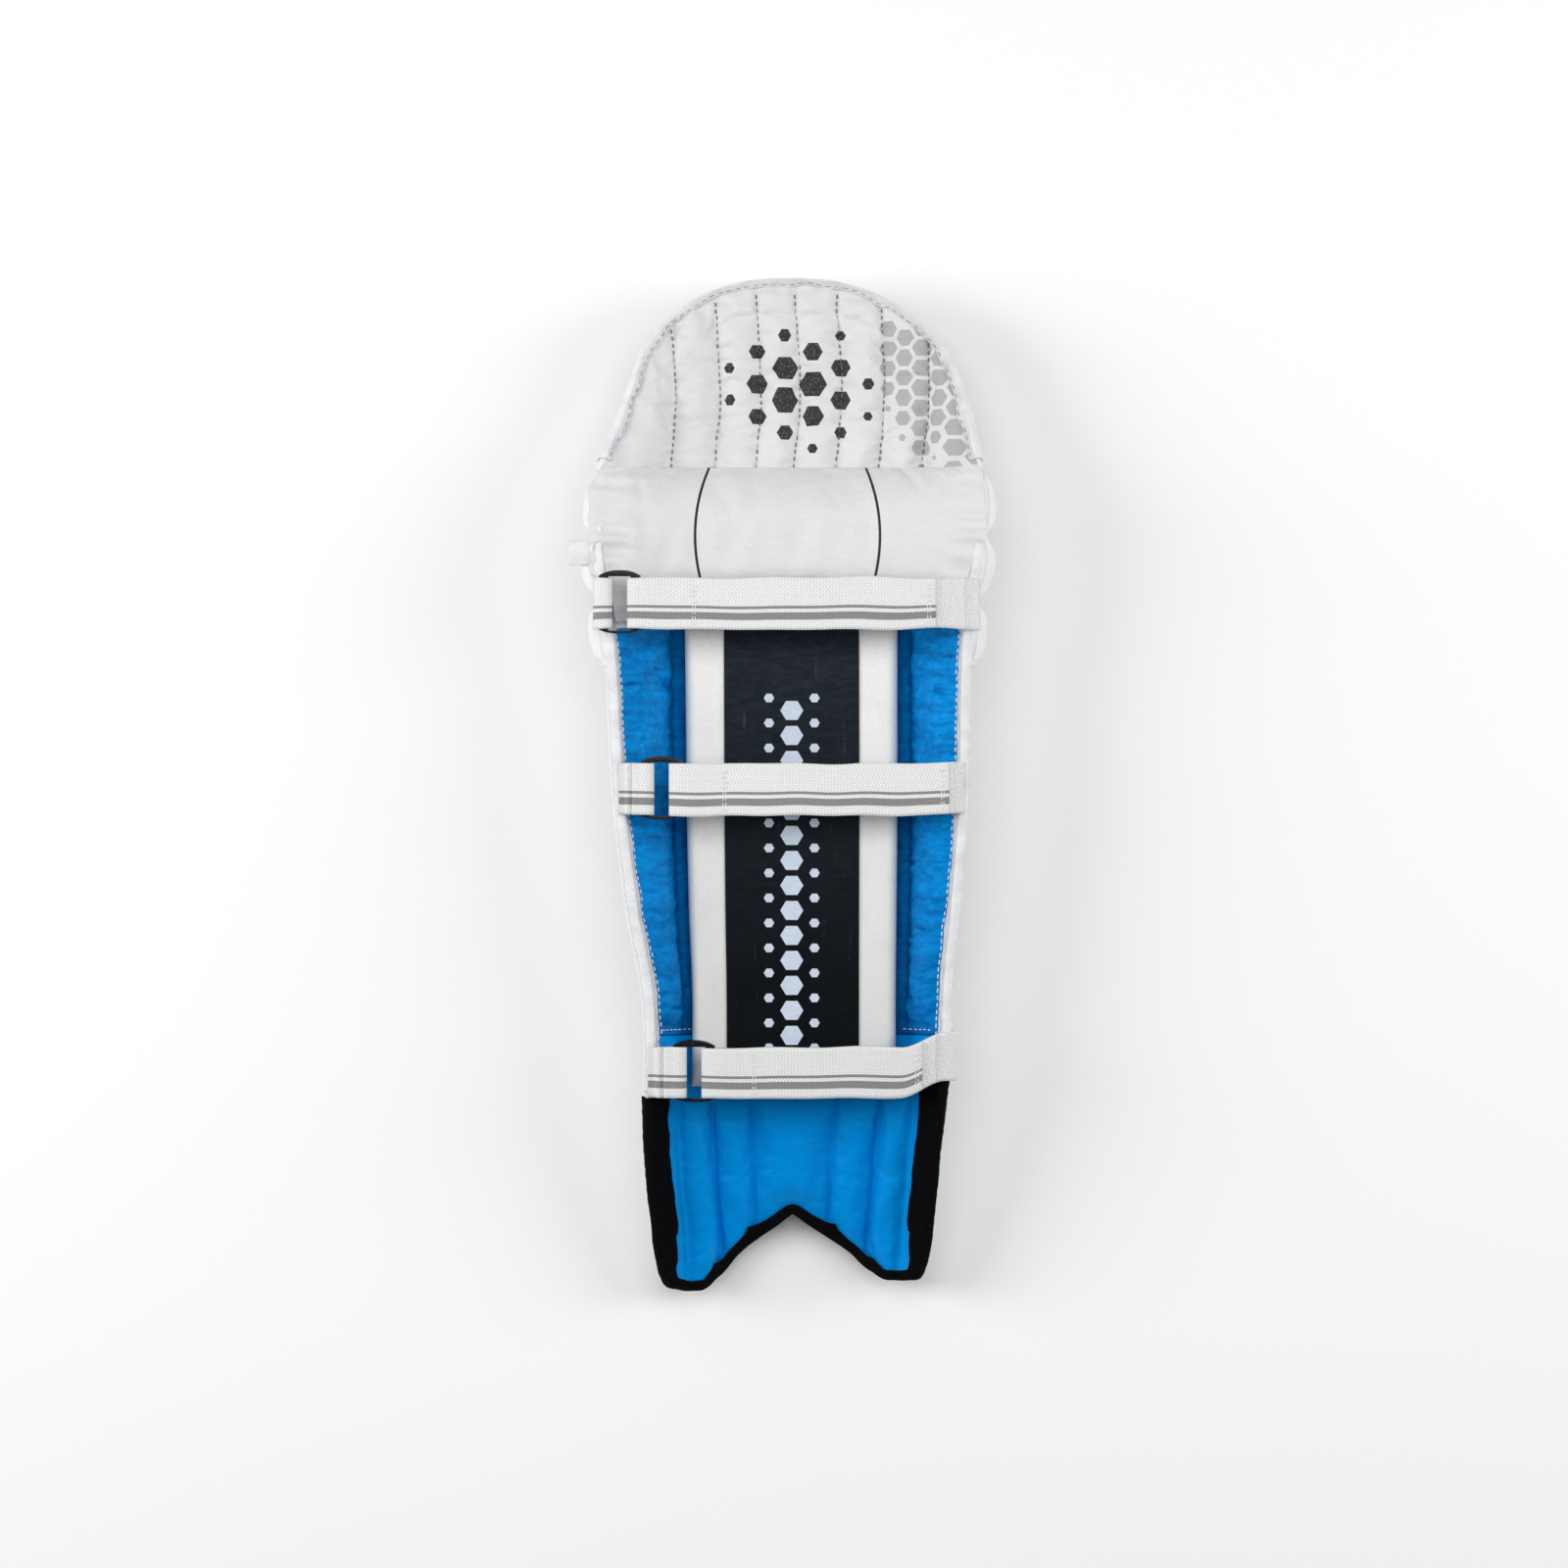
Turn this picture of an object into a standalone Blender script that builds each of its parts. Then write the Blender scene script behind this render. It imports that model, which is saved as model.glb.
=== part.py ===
"""A boys' cricket batting pad, lying on its front with the leg side up and its three straps fastened.

Metres: +X across the pad, +Y up the pad towards the thigh, +Z up from the floor.
The pad is described as it is cut, flat, and then bent round the leg. A place on it is
across (from the middle line), y (up the pad) and out (towards the leg, from the seam
surface where the lining meets the front).
"""

import math
from collections import namedtuple

import bmesh
import bpy
import numpy as np

# Lengths of the pad's four zones, from the thigh down
TOP_HAT_HEIGHT = 0.1165
KNEE_HEIGHT = 0.115
SHIN_LENGTH = 0.218
INSTEP_LENGTH = 0.1545

# Bend of the pad round the leg
SEAM_HEIGHT = 0.031
FLAT_HALF = 0.036
BEND_RADIUS = 0.070
LEAN = 0.009

# Layers, measured out from the seam surface
LAYER_GAP = 0.0005
FACE_SEAM_DEPTH = 0.004
CANE_DEPTH = 0.009
OUTER_CANE = 0.5
EDGE_DEPTH = 0.002
EDGE_ROUND = 0.018
FACE_FLOOR = 0.0016
BACK_GAP = 0.0009
SEAT_GAP = 0.0012
END_INSET = 0.0021
LINING_MIDDLE = 0.006
LINING_PUFF = 0.009
LINING_SEAM_DEPTH = 0.002
LINING_SEAM_ACROSS = 0.0745
INSTEP_PUFF = 0.007
INSTEP_FLAT = 0.16

# Shin bolster and its panel
BOLSTER_MIDDLE_X = 0.004
BOLSTER_HALF = 0.0615
BOLSTER_DEPTH = 0.024
BOLSTER_FOOT = 0.022
PANEL_HALF = 0.0385
PANEL_THICKNESS = 0.0012

# Knee bolster and the rolls on the front
KNEE_BOLSTER_HEIGHT = 0.089
KNEE_BOLSTER_DEPTH = 0.028
KNEE_BOLSTER_RIM = 0.0012
ROLL_DEPTH = 0.036
ROLL_END_DEPTH = 0.0165
ROLL_COUNT = 3
ROLL_GAP = 0.0008

# Top hat
TOP_HAT_HALF = 0.1265
TOP_HAT_BACK = 0.004
TOP_HAT_FRONT = 0.007
TOP_HAT_PUFF = 0.004
TOP_HAT_TAPER = 0.27
TOP_HAT_STRAIGHT = 0.665
TOP_HAT_DROP = 0.38

# Instep outline
NOTCH_DEPTH = 0.0455

# Bindings
BINDING_THICKNESS = 0.0010
BINDING_CLEAR = 0.0009
CORNER_CLEAR = 0.0013
TOE_CLEAR = 0.0018
TOE_CORNER = 0.006
SHIN_BINDING = 0.0045
SHIN_BINDING_INSET = 0.003
TOP_HAT_BINDING = 0.006
INSTEP_SIDE_BINDING = 0.016
INSTEP_END_BINDING = 0.007

# Straps
STRAP_WIDTH = 0.0305
STRAP_THICKNESS = 0.0014
PATCH_THICKNESS = 0.0010
STRAP_CLEAR = 0.0004
STRAP_BOW = 0.007
STRAP_END = 0.014
STRAP_DROP_LENGTH = 0.028
STRAP_CLOSING = 0.028
PATCH_OVERLAP = 0.030
PATCH_END = 0.003
SEWN_LENGTH = 0.003
ROLL_SEAT_CLEAR = 0.0012
TAB_RETURN = 0.006
RING_WIDTH = 0.0245
RING_CAP = 0.0032
RING_BAR = 0.0055
RING_THICKNESS = 0.003
RING_CLEAR = 0.0007
FOLD_STEP = 22.5

# Edge label
LABEL_LENGTH = 0.016
LABEL_WIDTH = 0.0145
LABEL_THICKNESS = 0.0006
LABEL_OUT = 0.0105
LABEL_CLEAR = 0.0009

# Places up the pad
PAD_LENGTH = TOP_HAT_HEIGHT + KNEE_HEIGHT + SHIN_LENGTH + INSTEP_LENGTH
TOP_Y = PAD_LENGTH / 2
KNEE_TOP_Y = TOP_Y - TOP_HAT_HEIGHT
KNEE_Y = KNEE_TOP_Y - KNEE_HEIGHT
ANKLE_Y = KNEE_Y - SHIN_LENGTH
TOE_Y = ANKLE_Y - INSTEP_LENGTH

# Cross-sections from the thigh down: the place as a share of a zone measured down from its
# top, then shares of SEAM_HEIGHT, LEAN, FLAT_HALF and BEND_RADIUS, and the wraps in degrees
Section = namedtuple("Section", "zone_top zone_length down height centre flat radius left right")
SECTIONS = (
    Section(TOP_Y, TOP_HAT_HEIGHT, 0.0, 1.42, 0.35, 1.0, 1.90, 40, 40),
    Section(TOP_Y, TOP_HAT_HEIGHT, 0.6, 1.22, 0.70, 1.0, 1.60, 46, 46),
    Section(KNEE_TOP_Y, KNEE_HEIGHT, 0.0, 1.10, 0.30, 1.0, 1.35, 53, 54),
    Section(KNEE_TOP_Y, KNEE_HEIGHT, 0.45, 1.08, 0.17, 1.0, 1.15, 69, 70),
    Section(KNEE_TOP_Y, KNEE_HEIGHT, 1.0, 1.05, 0.32, 1.0, 1.01, 76, 73),
    Section(KNEE_Y, SHIN_LENGTH, 0.25, 1.00, 0.48, 1.0, 0.97, 80, 74),
    Section(KNEE_Y, SHIN_LENGTH, 0.65, 1.00, 0.72, 0.92, 0.907, 81, 73),
    Section(KNEE_Y, SHIN_LENGTH, 1.0, 1.00, 0.98, 0.84, 0.84, 78, 72),
    Section(ANKLE_Y, INSTEP_LENGTH, 0.25, 0.92, 0.74, 0.84, 0.845, 72, 68),
    Section(ANKLE_Y, INSTEP_LENGTH, 0.55, 0.67, 0.54, 0.84, 0.85, 64, 62),
    Section(ANKLE_Y, INSTEP_LENGTH, 1.0, 0.34, 0.50, 0.84, 0.85, 56, 56),
)

# End of the instep, from its left edge to its right: shares of the flat half width, and of
# NOTCH_DEPTH below the top of the notch
TOE_LINE = (
    (-1.00, 0.50), (-0.94, 0.78), (-0.82, 0.97), (-0.68, 1.00), (-0.52, 0.84), (-0.38, 0.55),
    (-0.24, 0.33), (0.00, 0.00), (0.24, 0.31), (0.40, 0.52), (0.55, 0.76), (0.70, 0.86),
    (0.84, 0.85), (0.95, 0.66), (1.00, 0.44),
)

# Seams as shares of the half width
FACE_SEAMS = (-1.0, -5 / 7, -3 / 7, -1 / 7, 1 / 7, 3 / 7, 5 / 7, 1.0)
TOP_HAT_SEAMS = (-1.0, -0.58, -0.357, -0.16, 0.02, 0.217, 0.425, 0.65, 1.0)
INSTEP_SEAMS = (-1.0, -0.74, -0.466, -0.236, 0.236, 0.466, 0.76, 1.0)

# Straps from the knee down: place up the pad as a share of the way from the ankle to the top
# of the knee, the ring and the band's free end as shares of the half width there, how far the
# right end climbs as a share of the strap's width, how far outside the edge it is sewn, how far
# it stands above that, whether it is sewn on the end of a knee roll and whether its right end
# goes round to the outer face
Strap = namedtuple("Strap", "name up ring free_end climb sewn rise on_roll outside")
STRAPS = (
    Strap("upper", 0.764, -0.915, 0.808, 0.00, 0.0055, 0.0085, True, False),
    Strap("middle", 0.436, -0.775, 0.939, 0.05, 0.0005, 0.0030, False, False),
    Strap("lower", -0.065, -0.715, 0.865, 0.30, 0.0015, 0.0030, False, True),
)

FABRIC_ROUGHNESS = 0.8
COLOURS = {
    "white": ((0.80, 0.80, 0.79), FABRIC_ROUGHNESS),
    "blue": ((0.02, 0.22, 0.58), 0.6),
    "cream": ((0.78, 0.76, 0.72), 0.9),
    "black": ((0.012, 0.014, 0.017), 0.7),
    "ring": ((0.01, 0.01, 0.012), 0.3),
    "elastic": ((0.82, 0.82, 0.80), FABRIC_ROUGHNESS),
}


def smooth_through(places, values, place):
    """A smooth curve through the values, with no overshoot between them."""
    steps = np.diff(places)
    slopes = np.diff(values) / steps
    tangents = np.zeros(len(values))
    for i in range(1, len(values) - 1):
        before, after = slopes[i - 1], slopes[i]
        if before * after > 0:
            tangents[i] = 2 * before * after / (before + after)
    i = int(np.clip(np.searchsorted(places, place) - 1, 0, len(steps) - 1))
    t = float(np.clip((place - places[i]) / steps[i], 0, 1))
    start = values[i] + tangents[i] * steps[i] * t
    end = values[i + 1] - tangents[i + 1] * steps[i] * (1 - t)
    ease = t * t * (3 - 2 * t)
    return start * (1 - ease) + end * ease


SECTION_PLACES = [s.zone_top - s.down * s.zone_length for s in reversed(SECTIONS)]


def section(y):
    """Height, centre, flat half, bend radius and the two wraps, in radians, of the section at y."""
    found = [
        smooth_through(SECTION_PLACES, [getattr(s, column) for s in reversed(SECTIONS)], y)
        for column in ("height", "centre", "flat", "radius", "left", "right")
    ]
    height, centre, flat, radius, left, right = found
    return (
        height * SEAM_HEIGHT,
        centre * LEAN,
        flat * FLAT_HALF,
        radius * BEND_RADIUS,
        math.radians(left),
        math.radians(right),
    )


def bend(across, y, out, floor=0.0):
    """The point of the bent pad for a place on the flat one. It is flattened where it rests."""
    height, centre, flat, radius, _, _ = section(y)
    turn = max(0.0, abs(across) - flat) / radius
    reach = min(abs(across), flat) + (radius - out) * math.sin(turn)
    rise = height + radius - (radius - out) * math.cos(turn)
    return centre + math.copysign(reach, across), y, max(rise, floor)


def edge(y, side):
    """Flat distance from the middle to the pad's left (-1) or right (+1) edge."""
    _, _, flat, radius, left, right = section(y)
    return side * (flat + radius * (left if side < 0 else right))


def across_at(share, y):
    """A share of the half width, from -1 at the left edge to 1 at the right, as a flat distance."""
    return abs(share) * edge(y, math.copysign(1.0, share))


def rounded(share, power=2.0):
    """A bulge that is 1 in the middle and 0 at shares -1 and 1."""
    return max(0.0, 1.0 - abs(share) ** power) ** 0.5


def channel_bulge(place, seams):
    """The bulge of the channel that the place lies in, between its two seams."""
    i = int(np.clip(np.searchsorted(seams, place, side="right") - 1, 0, len(seams) - 2))
    return rounded(2 * (place - seams[i]) / (seams[i + 1] - seams[i]) - 1)


def channel_columns(seams, inside):
    """The seams, with the places inside each channel between them."""
    columns = [
        low + share * (high - low)
        for low, high in zip(seams, seams[1:])
        for share in (0.0, *inside)
    ]
    return [*columns, seams[-1]]


def evenly(low, high, count):
    return [low + (high - low) * i / (count - 1) for i in range(count)]


def material(name):
    made = bpy.data.materials.get(name)
    if made is None:
        made = bpy.data.materials.new(name)
        made.use_nodes = True
        colour, roughness = COLOURS[name]
        shader = made.node_tree.nodes["Principled BSDF"]
        shader.inputs["Base Color"].default_value = (*colour, 1.0)
        shader.inputs["Roughness"].default_value = roughness
    return made


def add_object(name, data, material_name, collection):
    obj = bpy.data.objects.new(name, data)
    data.materials.append(material(material_name))
    collection.objects.link(obj)
    return obj


def grid_mesh(name, columns, rows, place, layers):
    """A grid whose corners place() puts, as one sheet or, with two layers, as a closed slab."""
    mesh_data = bmesh.new()
    bmesh.ops.create_grid(
        mesh_data, x_segments=len(columns) - 1, y_segments=len(rows) - 1, size=1.0
    )
    if layers == 2:
        bmesh.ops.solidify(mesh_data, geom=mesh_data.faces[:], thickness=1.0)
    top = max(v.co.z for v in mesh_data.verts)
    for vertex in mesh_data.verts:
        column = columns[round((vertex.co.x + 1) / 2 * (len(columns) - 1))]
        row = rows[round((vertex.co.y + 1) / 2 * (len(rows) - 1))]
        leg_side = vertex.co.z > top - 0.5
        vertex.co = place(column, row, leg_side) if layers == 2 else place(column, row)
    bmesh.ops.recalc_face_normals(mesh_data, faces=mesh_data.faces[:])
    if layers == 2 and mesh_data.calc_volume(signed=True) < 0:
        bmesh.ops.reverse_faces(mesh_data, faces=mesh_data.faces[:])
    mesh = bpy.data.meshes.new(name)
    mesh_data.to_mesh(mesh)
    mesh_data.free()
    return mesh


def slab(name, columns, rows, place, material_name, collection):
    mesh = grid_mesh(name, columns, rows, place, layers=2)
    mesh.shade_smooth()
    return add_object(name, mesh, material_name, collection)


def strip(name, columns, rows, place, thickness, material_name, collection):
    """An open sheet given an even thickness about itself."""
    mesh = grid_mesh(name, columns, rows, place, layers=1)
    obj = add_object(name, mesh, material_name, collection)
    solidify = obj.modifiers.new("thickness", "SOLIDIFY")
    solidify.thickness = thickness
    solidify.offset = 0.0
    solidify.use_even_offset = True
    return obj


def toe_end(share):
    """Where the instep ends, under a share of the half width."""
    shares, depths = zip(*TOE_LINE)
    down = smooth_through(shares, depths, share)
    return TOE_Y + END_INSET + NOTCH_DEPTH * (1 - down)


# Depths of the layers. over_seams gives the depth as if no seam drew it in.


def share_at(across, y):
    return across / abs(edge(y, math.copysign(1.0, across)))


def distance_to(line, place):
    """Distance from a flat place to a line of flat points."""
    line = np.array(line)
    starts, steps = line[:-1], np.diff(line, axis=0)
    along = np.clip(((place - starts) * steps).sum(1) / (steps**2).sum(1), 0, 1)
    return float(np.hypot(*(place - starts - steps * along[:, None]).T).min())


def lens(share):
    """A bulge that is 1 in the middle and slopes gently down to 0 at shares -1 and 1."""
    return max(0.0, 1.0 - share * share)


def rise(distance):
    """How far the padding has risen at a distance in from a bound edge."""
    return lens(1.0 - min(1.0, distance / EDGE_ROUND))


TOE_OUTLINE = [(across_at(s, toe_end(s)), toe_end(s)) for s in evenly(-1, 1, 41)]


def thinned(depth, across, y):
    """A depth, thinned towards the bound end of the instep."""
    return EDGE_DEPTH + (depth - EDGE_DEPTH) * rise(distance_to(TOE_OUTLINE, (across, y)))


def face_depth(across, y, over_seams=False):
    """Depth of the front: canes between seams, slimmer and thin at the two edges."""
    place = abs(share_at(across, y))
    outer = FACE_SEAMS[-2] + (1 - FACE_SEAMS[-2]) / 2
    beyond = max(0.0, (place - outer) / (1 - outer))
    bulge = 1.0 if over_seams else channel_bulge(place, FACE_SEAMS)
    bulge = lens(beyond) if beyond else bulge
    slim = 1 - (1 - OUTER_CANE) * float(np.interp(place, (FACE_SEAMS[-3], outer), (0, 1)))
    seam = EDGE_DEPTH + (FACE_SEAM_DEPTH - EDGE_DEPTH) * lens(beyond)
    return thinned(seam + CANE_DEPTH * slim * bulge, across, y)


def lining_depth(across, y, over_seams=False):
    """Depth of the shin lining: level in the middle, a padded channel down each side. The
    channels are pressed level under the knee bolster."""
    from_middle = across + section(y)[1] - BOLSTER_MIDDLE_X
    level = LINING_MIDDLE - LINING_SEAM_DEPTH
    place = abs(from_middle) / LINING_SEAM_ACROSS
    if place < 1:
        return LINING_SEAM_DEPTH + level * (1.0 if over_seams else rounded(place, 16))
    side = math.copysign(1.0, from_middle)
    to_edge = abs(edge(y, side)) + side * (section(y)[1] - BOLSTER_MIDDLE_X)
    place = 2 * (abs(from_middle) - LINING_SEAM_ACROSS) / (to_edge - LINING_SEAM_ACROSS) - 1
    bulge = lens(place) if place > 0 else 1.0 if over_seams else rounded(place)
    pressed = np.clip((y - KNEE_Y) / (KNEE_HEIGHT - KNEE_BOLSTER_HEIGHT), 0, 1)
    return LINING_SEAM_DEPTH + (LINING_PUFF + (level - LINING_PUFF) * float(pressed)) * bulge


def instep_depth(across, y, over_seams=False):
    """Depth of the instep lining: level behind the bolster, padded channels below it."""
    share = share_at(across, y)
    level = EDGE_DEPTH + (LINING_MIDDLE - EDGE_DEPTH) * rounded(share, 8)
    last = (INSTEP_SEAMS[-3] + INSTEP_SEAMS[-2]) / 2
    if abs(share) > INSTEP_SEAMS[-2]:
        bulge = 0.0
    elif over_seams:
        bulge = rounded(max(0.0, (abs(share) - last) / (INSTEP_SEAMS[-2] - last)))
    else:
        bulge = channel_bulge(share, INSTEP_SEAMS)
    down = (ANKLE_Y - y) / INSTEP_LENGTH
    swell = float(np.interp(down, (INSTEP_FLAT, 2 * INSTEP_FLAT), (0, 1)))
    depth = level * (1 - swell) + (LINING_SEAM_DEPTH + INSTEP_PUFF * bulge) * swell
    return thinned(depth, across, y)


# Padded body


def make_front_face(collection):
    columns = channel_columns(FACE_SEAMS, (0.25, 0.75))
    top = KNEE_Y - LAYER_GAP

    def place(share, down, leg_side):
        y = top + (toe_end(share) - top) * down
        across = across_at(share, y)
        out = -BACK_GAP if leg_side else -BACK_GAP - face_depth(across, y)
        return bend(across, y, out, FACE_FLOOR)

    rows = (1.0, 0.985, 0.97, 0.94, *evenly(0.9, 0, 11))
    return slab("front_face", columns, rows, place, "white", collection)


def make_shin_lining(collection):
    inner = [0.6 * share for share in (-0.98, -0.84, -0.7, -0.53, -0.36)]
    inner = [*inner, 0.0, *(-c for c in reversed(inner))]
    side = (0.64, 0.7, 0.8, 0.9, 1.0)
    columns = [*(-s for s in reversed(side)), -0.6, *inner, 0.6, *side]

    def place(column, y, leg_side):
        middle = BOLSTER_MIDDLE_X - section(y)[1]
        low, high = middle - LINING_SEAM_ACROSS, middle + LINING_SEAM_ACROSS
        across = float(np.interp(column, (-1, -0.6, 0.6, 1), (edge(y, -1), low, high, edge(y, 1))))
        out = LAYER_GAP / 2 + (lining_depth(across, y) if leg_side else 0.0)
        return bend(across, y, out)

    rows = evenly(ANKLE_Y + LAYER_GAP, KNEE_TOP_Y - LAYER_GAP, 13)
    return slab("shin_lining", columns, rows, place, "blue", collection)


def make_instep_lining(collection):
    columns = channel_columns(INSTEP_SEAMS, (0.2, 0.5, 0.8))
    columns = [c for c in columns if abs(c) < INSTEP_SEAMS[-2] + 0.01 or abs(c) > 0.9]
    columns = sorted({*columns, -0.07, 0.07})
    top = ANKLE_Y - LAYER_GAP

    def place(share, down, leg_side):
        y = top + (toe_end(share) - top) * down
        across = across_at(share, y)
        out = LAYER_GAP / 2 + (instep_depth(across, y) if leg_side else 0.0)
        return bend(across, y, out)

    rows = (1.0, 0.96, 0.9, 0.8, 0.6, 0.4, 0.3, 0.2, 0.1, 0.0)
    return slab("instep_lining", columns, rows, place, "blue", collection)


def bolster_span():
    """Bottom and top of the shin bolster."""
    return ANKLE_Y - BOLSTER_FOOT, KNEE_TOP_Y - KNEE_BOLSTER_HEIGHT - 4 * LAYER_GAP


def bolster_place(across_share, along):
    """Flat place on the bolster for a share of its half width and of its half length."""
    bottom, top = bolster_span()
    y = bottom + (top - bottom) * (along + 1) / 2
    return BOLSTER_MIDDLE_X - section(y)[1] + across_share * BOLSTER_HALF, y


def bolster_depth(share, along):
    """Depth of the shin bolster: a nearly level top with round sides and ends."""
    return BOLSTER_DEPTH * max(0.1, rounded(share, 7)) * max(0.12, rounded(along, 22))


def make_shin_bolster(collection):
    def place(share, along, leg_side):
        across, y = bolster_place(share, along)
        out = SEAT_GAP + LINING_MIDDLE
        return bend(across, y, out + (bolster_depth(share, along) if leg_side else 0.0))

    columns = (-1, -0.97, -0.88, -0.7, -0.35, 0, 0.35, 0.7, 0.88, 0.97, 1)
    rows = (-1, -0.985, -0.94, -0.84, -0.6, -0.3, 0, 0.3, 0.6, 0.84, 0.94, 0.985, 1)
    return slab("shin_bolster", columns, rows, place, "cream", collection)


def make_bolster_panel(collection):
    def place(share, along, leg_side):
        share = share * PANEL_HALF / BOLSTER_HALF
        across, y = bolster_place(share, along)
        out = SEAT_GAP + LINING_MIDDLE + bolster_depth(share, along) + LAYER_GAP
        return bend(across, y, out + (PANEL_THICKNESS if leg_side else 0.0))

    rows = (-0.94, -0.84, -0.6, -0.3, 0, 0.3, 0.6, 0.84, 0.94)
    return slab("bolster_panel", evenly(-1, 1, 5), rows, place, "black", collection)


def make_knee_bolster(collection):
    bottom, top = KNEE_TOP_Y - KNEE_BOLSTER_HEIGHT, KNEE_TOP_Y - 2 * LAYER_GAP

    def place(share, along, leg_side):
        y = bottom + (top - bottom) * (along + 1) / 2
        across = across_at(0.975 * share, y)
        out = SEAT_GAP + lining_depth(across, y, over_seams=True)
        if leg_side:
            side = max(0.16, rounded(share, 3.2))
            out += max(KNEE_BOLSTER_RIM, KNEE_BOLSTER_DEPTH * side * rounded(0.99 * along, 3.5))
        return bend(across, y, out)

    columns = (-1, -0.97, -0.9, -0.78, -0.66, -0.53, -0.38, -0.2, 0)
    columns = [*columns, *(-c for c in reversed(columns[:-1]))]
    rows = (-1, -0.96, -0.85, -0.6, -0.2, 0.2, 0.6, 0.88, 1)
    return slab("knee_bolster", columns, rows, place, "white", collection)


def roll_depth(share):
    """Depth of a knee roll: full across the knee, slimmer towards its ends."""
    return ROLL_END_DEPTH + (ROLL_DEPTH - ROLL_END_DEPTH) * max(0.0, 1 - abs(share / 0.62) ** 3)


def make_knee_roll(name, number, collection):
    height = KNEE_HEIGHT / ROLL_COUNT
    middle_y = KNEE_Y + (number + 0.5) * height

    def place(share, along, leg_side):
        y = middle_y + along * (height - ROLL_GAP) / 2
        bulge = max(0.5, rounded(along, 2.6)) * max(0.35, rounded(share, 30))
        out = -BACK_GAP if leg_side else -BACK_GAP - roll_depth(share) * bulge
        return bend(across_at(share, y), y, out)

    columns = (-1, -0.98, -0.9, -0.78, -0.66, -0.54, -0.42, -0.28, -0.14, 0)
    columns = [*columns, *(-c for c in reversed(columns[:-1]))]
    return slab(name, columns, (-1, -0.85, -0.4, 0.4, 0.85, 1), place, "white", collection)


# Top hat


def top_hat_place(share, up):
    """Flat place on the top hat: straight up between its seams, tapering outside them."""

    def reach(at):
        straight = min(abs(share), TOP_HAT_STRAIGHT)
        room = 1 - TOP_HAT_TAPER * at**0.85 - TOP_HAT_STRAIGHT
        return straight + (abs(share) - straight) * room / (1 - TOP_HAT_STRAIGHT)

    arch = 1 - TOP_HAT_DROP * (reach(1) / (1 - TOP_HAT_TAPER)) ** 2.6
    height = (TOP_HAT_HEIGHT - END_INSET - LAYER_GAP) * arch * up
    return math.copysign(reach(up) * TOP_HAT_HALF, share), KNEE_TOP_Y + LAYER_GAP + height


TOP_HAT_OUTLINE = [
    *(top_hat_place(1, up) for up in (0.0, 0.25, 0.5, 0.75, 0.93)),
    *(top_hat_place(share, 1) for share in (1.0, *evenly(0.94, -0.94, 21), -1.0)),
    *(top_hat_place(-1, up) for up in (0.93, 0.75, 0.5, 0.25, 0.0)),
]


def top_hat_depth(core, bulge, distance):
    """Depth of a side of the top hat over its core, at a distance in from its bound edge."""
    return EDGE_DEPTH + (core - EDGE_DEPTH + TOP_HAT_PUFF * bulge) * rise(distance)


def make_top_hat(collection):
    columns = channel_columns(TOP_HAT_SEAMS, (0.25, 0.75))
    columns = sorted({*columns, -0.96, 0.96})

    def place(share, up, leg_side):
        across, y = top_hat_place(share, up)
        core = TOP_HAT_BACK if leg_side else TOP_HAT_FRONT
        bulge = channel_bulge(share, TOP_HAT_SEAMS)
        depth = top_hat_depth(core, bulge, distance_to(TOP_HAT_OUTLINE, (across, y)))
        return bend(across, y, depth if leg_side else -depth)

    rows = (0.0, 0.2, 0.4, 0.6, 0.8, 0.9, 0.96, 1.0)
    return slab("top_hat", columns, rows, place, "white", collection)


# Bindings


def make_binding(name, line, depths, reaches, clear, material_name, collection):
    """A tape folded over an edge. line gives the edge's flat places in order, with the pad on
    its left; depths(across, y) gives the leg and front depths there; reaches(i) gives how far
    in the tape reaches on each of the two sides."""
    points = np.array(line)
    along = np.gradient(points, axis=0)
    along /= np.linalg.norm(along, axis=1)[:, None]
    inward = np.stack([-along[:, 1], along[:, 0]], axis=1)
    lift = clear + BINDING_THICKNESS / 2

    def place(fold, i):
        reach = reaches(i)[0 if fold > 0 else 1]
        distance = reach * max(0, abs(fold) - 2) / 2
        tip = lift if abs(fold) == 1 else 0.0
        across, y = points[i] + inward[i] * (distance - tip)
        leg, front = depths(*(points[i] + inward[i] * distance))
        top, bottom = leg + lift, -front - lift
        if abs(fold) == 1:
            top, bottom = (0.75 * top + 0.25 * bottom), (0.25 * top + 0.75 * bottom)
        return bend(across, y, top if fold > 0 else bottom, BINDING_THICKNESS / 2)

    return strip(
        name, (-4, -3, -2, -1, 1, 2, 3, 4), range(len(line)), place,
        BINDING_THICKNESS, material_name, collection,
    )


def make_shin_bindings(collection):
    def depths(across, y):
        leg = LAYER_GAP / 2 + lining_depth(across, y, over_seams=True)
        return leg, BACK_GAP + face_depth(across, y, over_seams=True)

    for side, name in ((1, "shin_binding_right"), (-1, "shin_binding_left")):
        places = evenly(ANKLE_Y + SHIN_BINDING_INSET, KNEE_Y - SHIN_BINDING_INSET, 10)
        line = [(edge(y, side), y) for y in places[::side]]
        reaches = (SHIN_BINDING, SHIN_BINDING)
        make_binding(name, line, depths, lambda i: reaches, BINDING_CLEAR, "white", collection)


def make_top_hat_binding(collection):
    def depths(across, y):
        distance = distance_to(TOP_HAT_OUTLINE, (across, y))
        return top_hat_depth(TOP_HAT_BACK, 1.0, distance), top_hat_depth(TOP_HAT_FRONT, 1.0, distance)

    line = [top_hat_place(1, 0.08), *TOP_HAT_OUTLINE[1:-1], top_hat_place(-1, 0.08)]
    make_binding(
        "top_hat_binding", line, depths, lambda i: (TOP_HAT_BINDING, TOP_HAT_BINDING),
        CORNER_CLEAR, "white", collection,
    )


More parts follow.
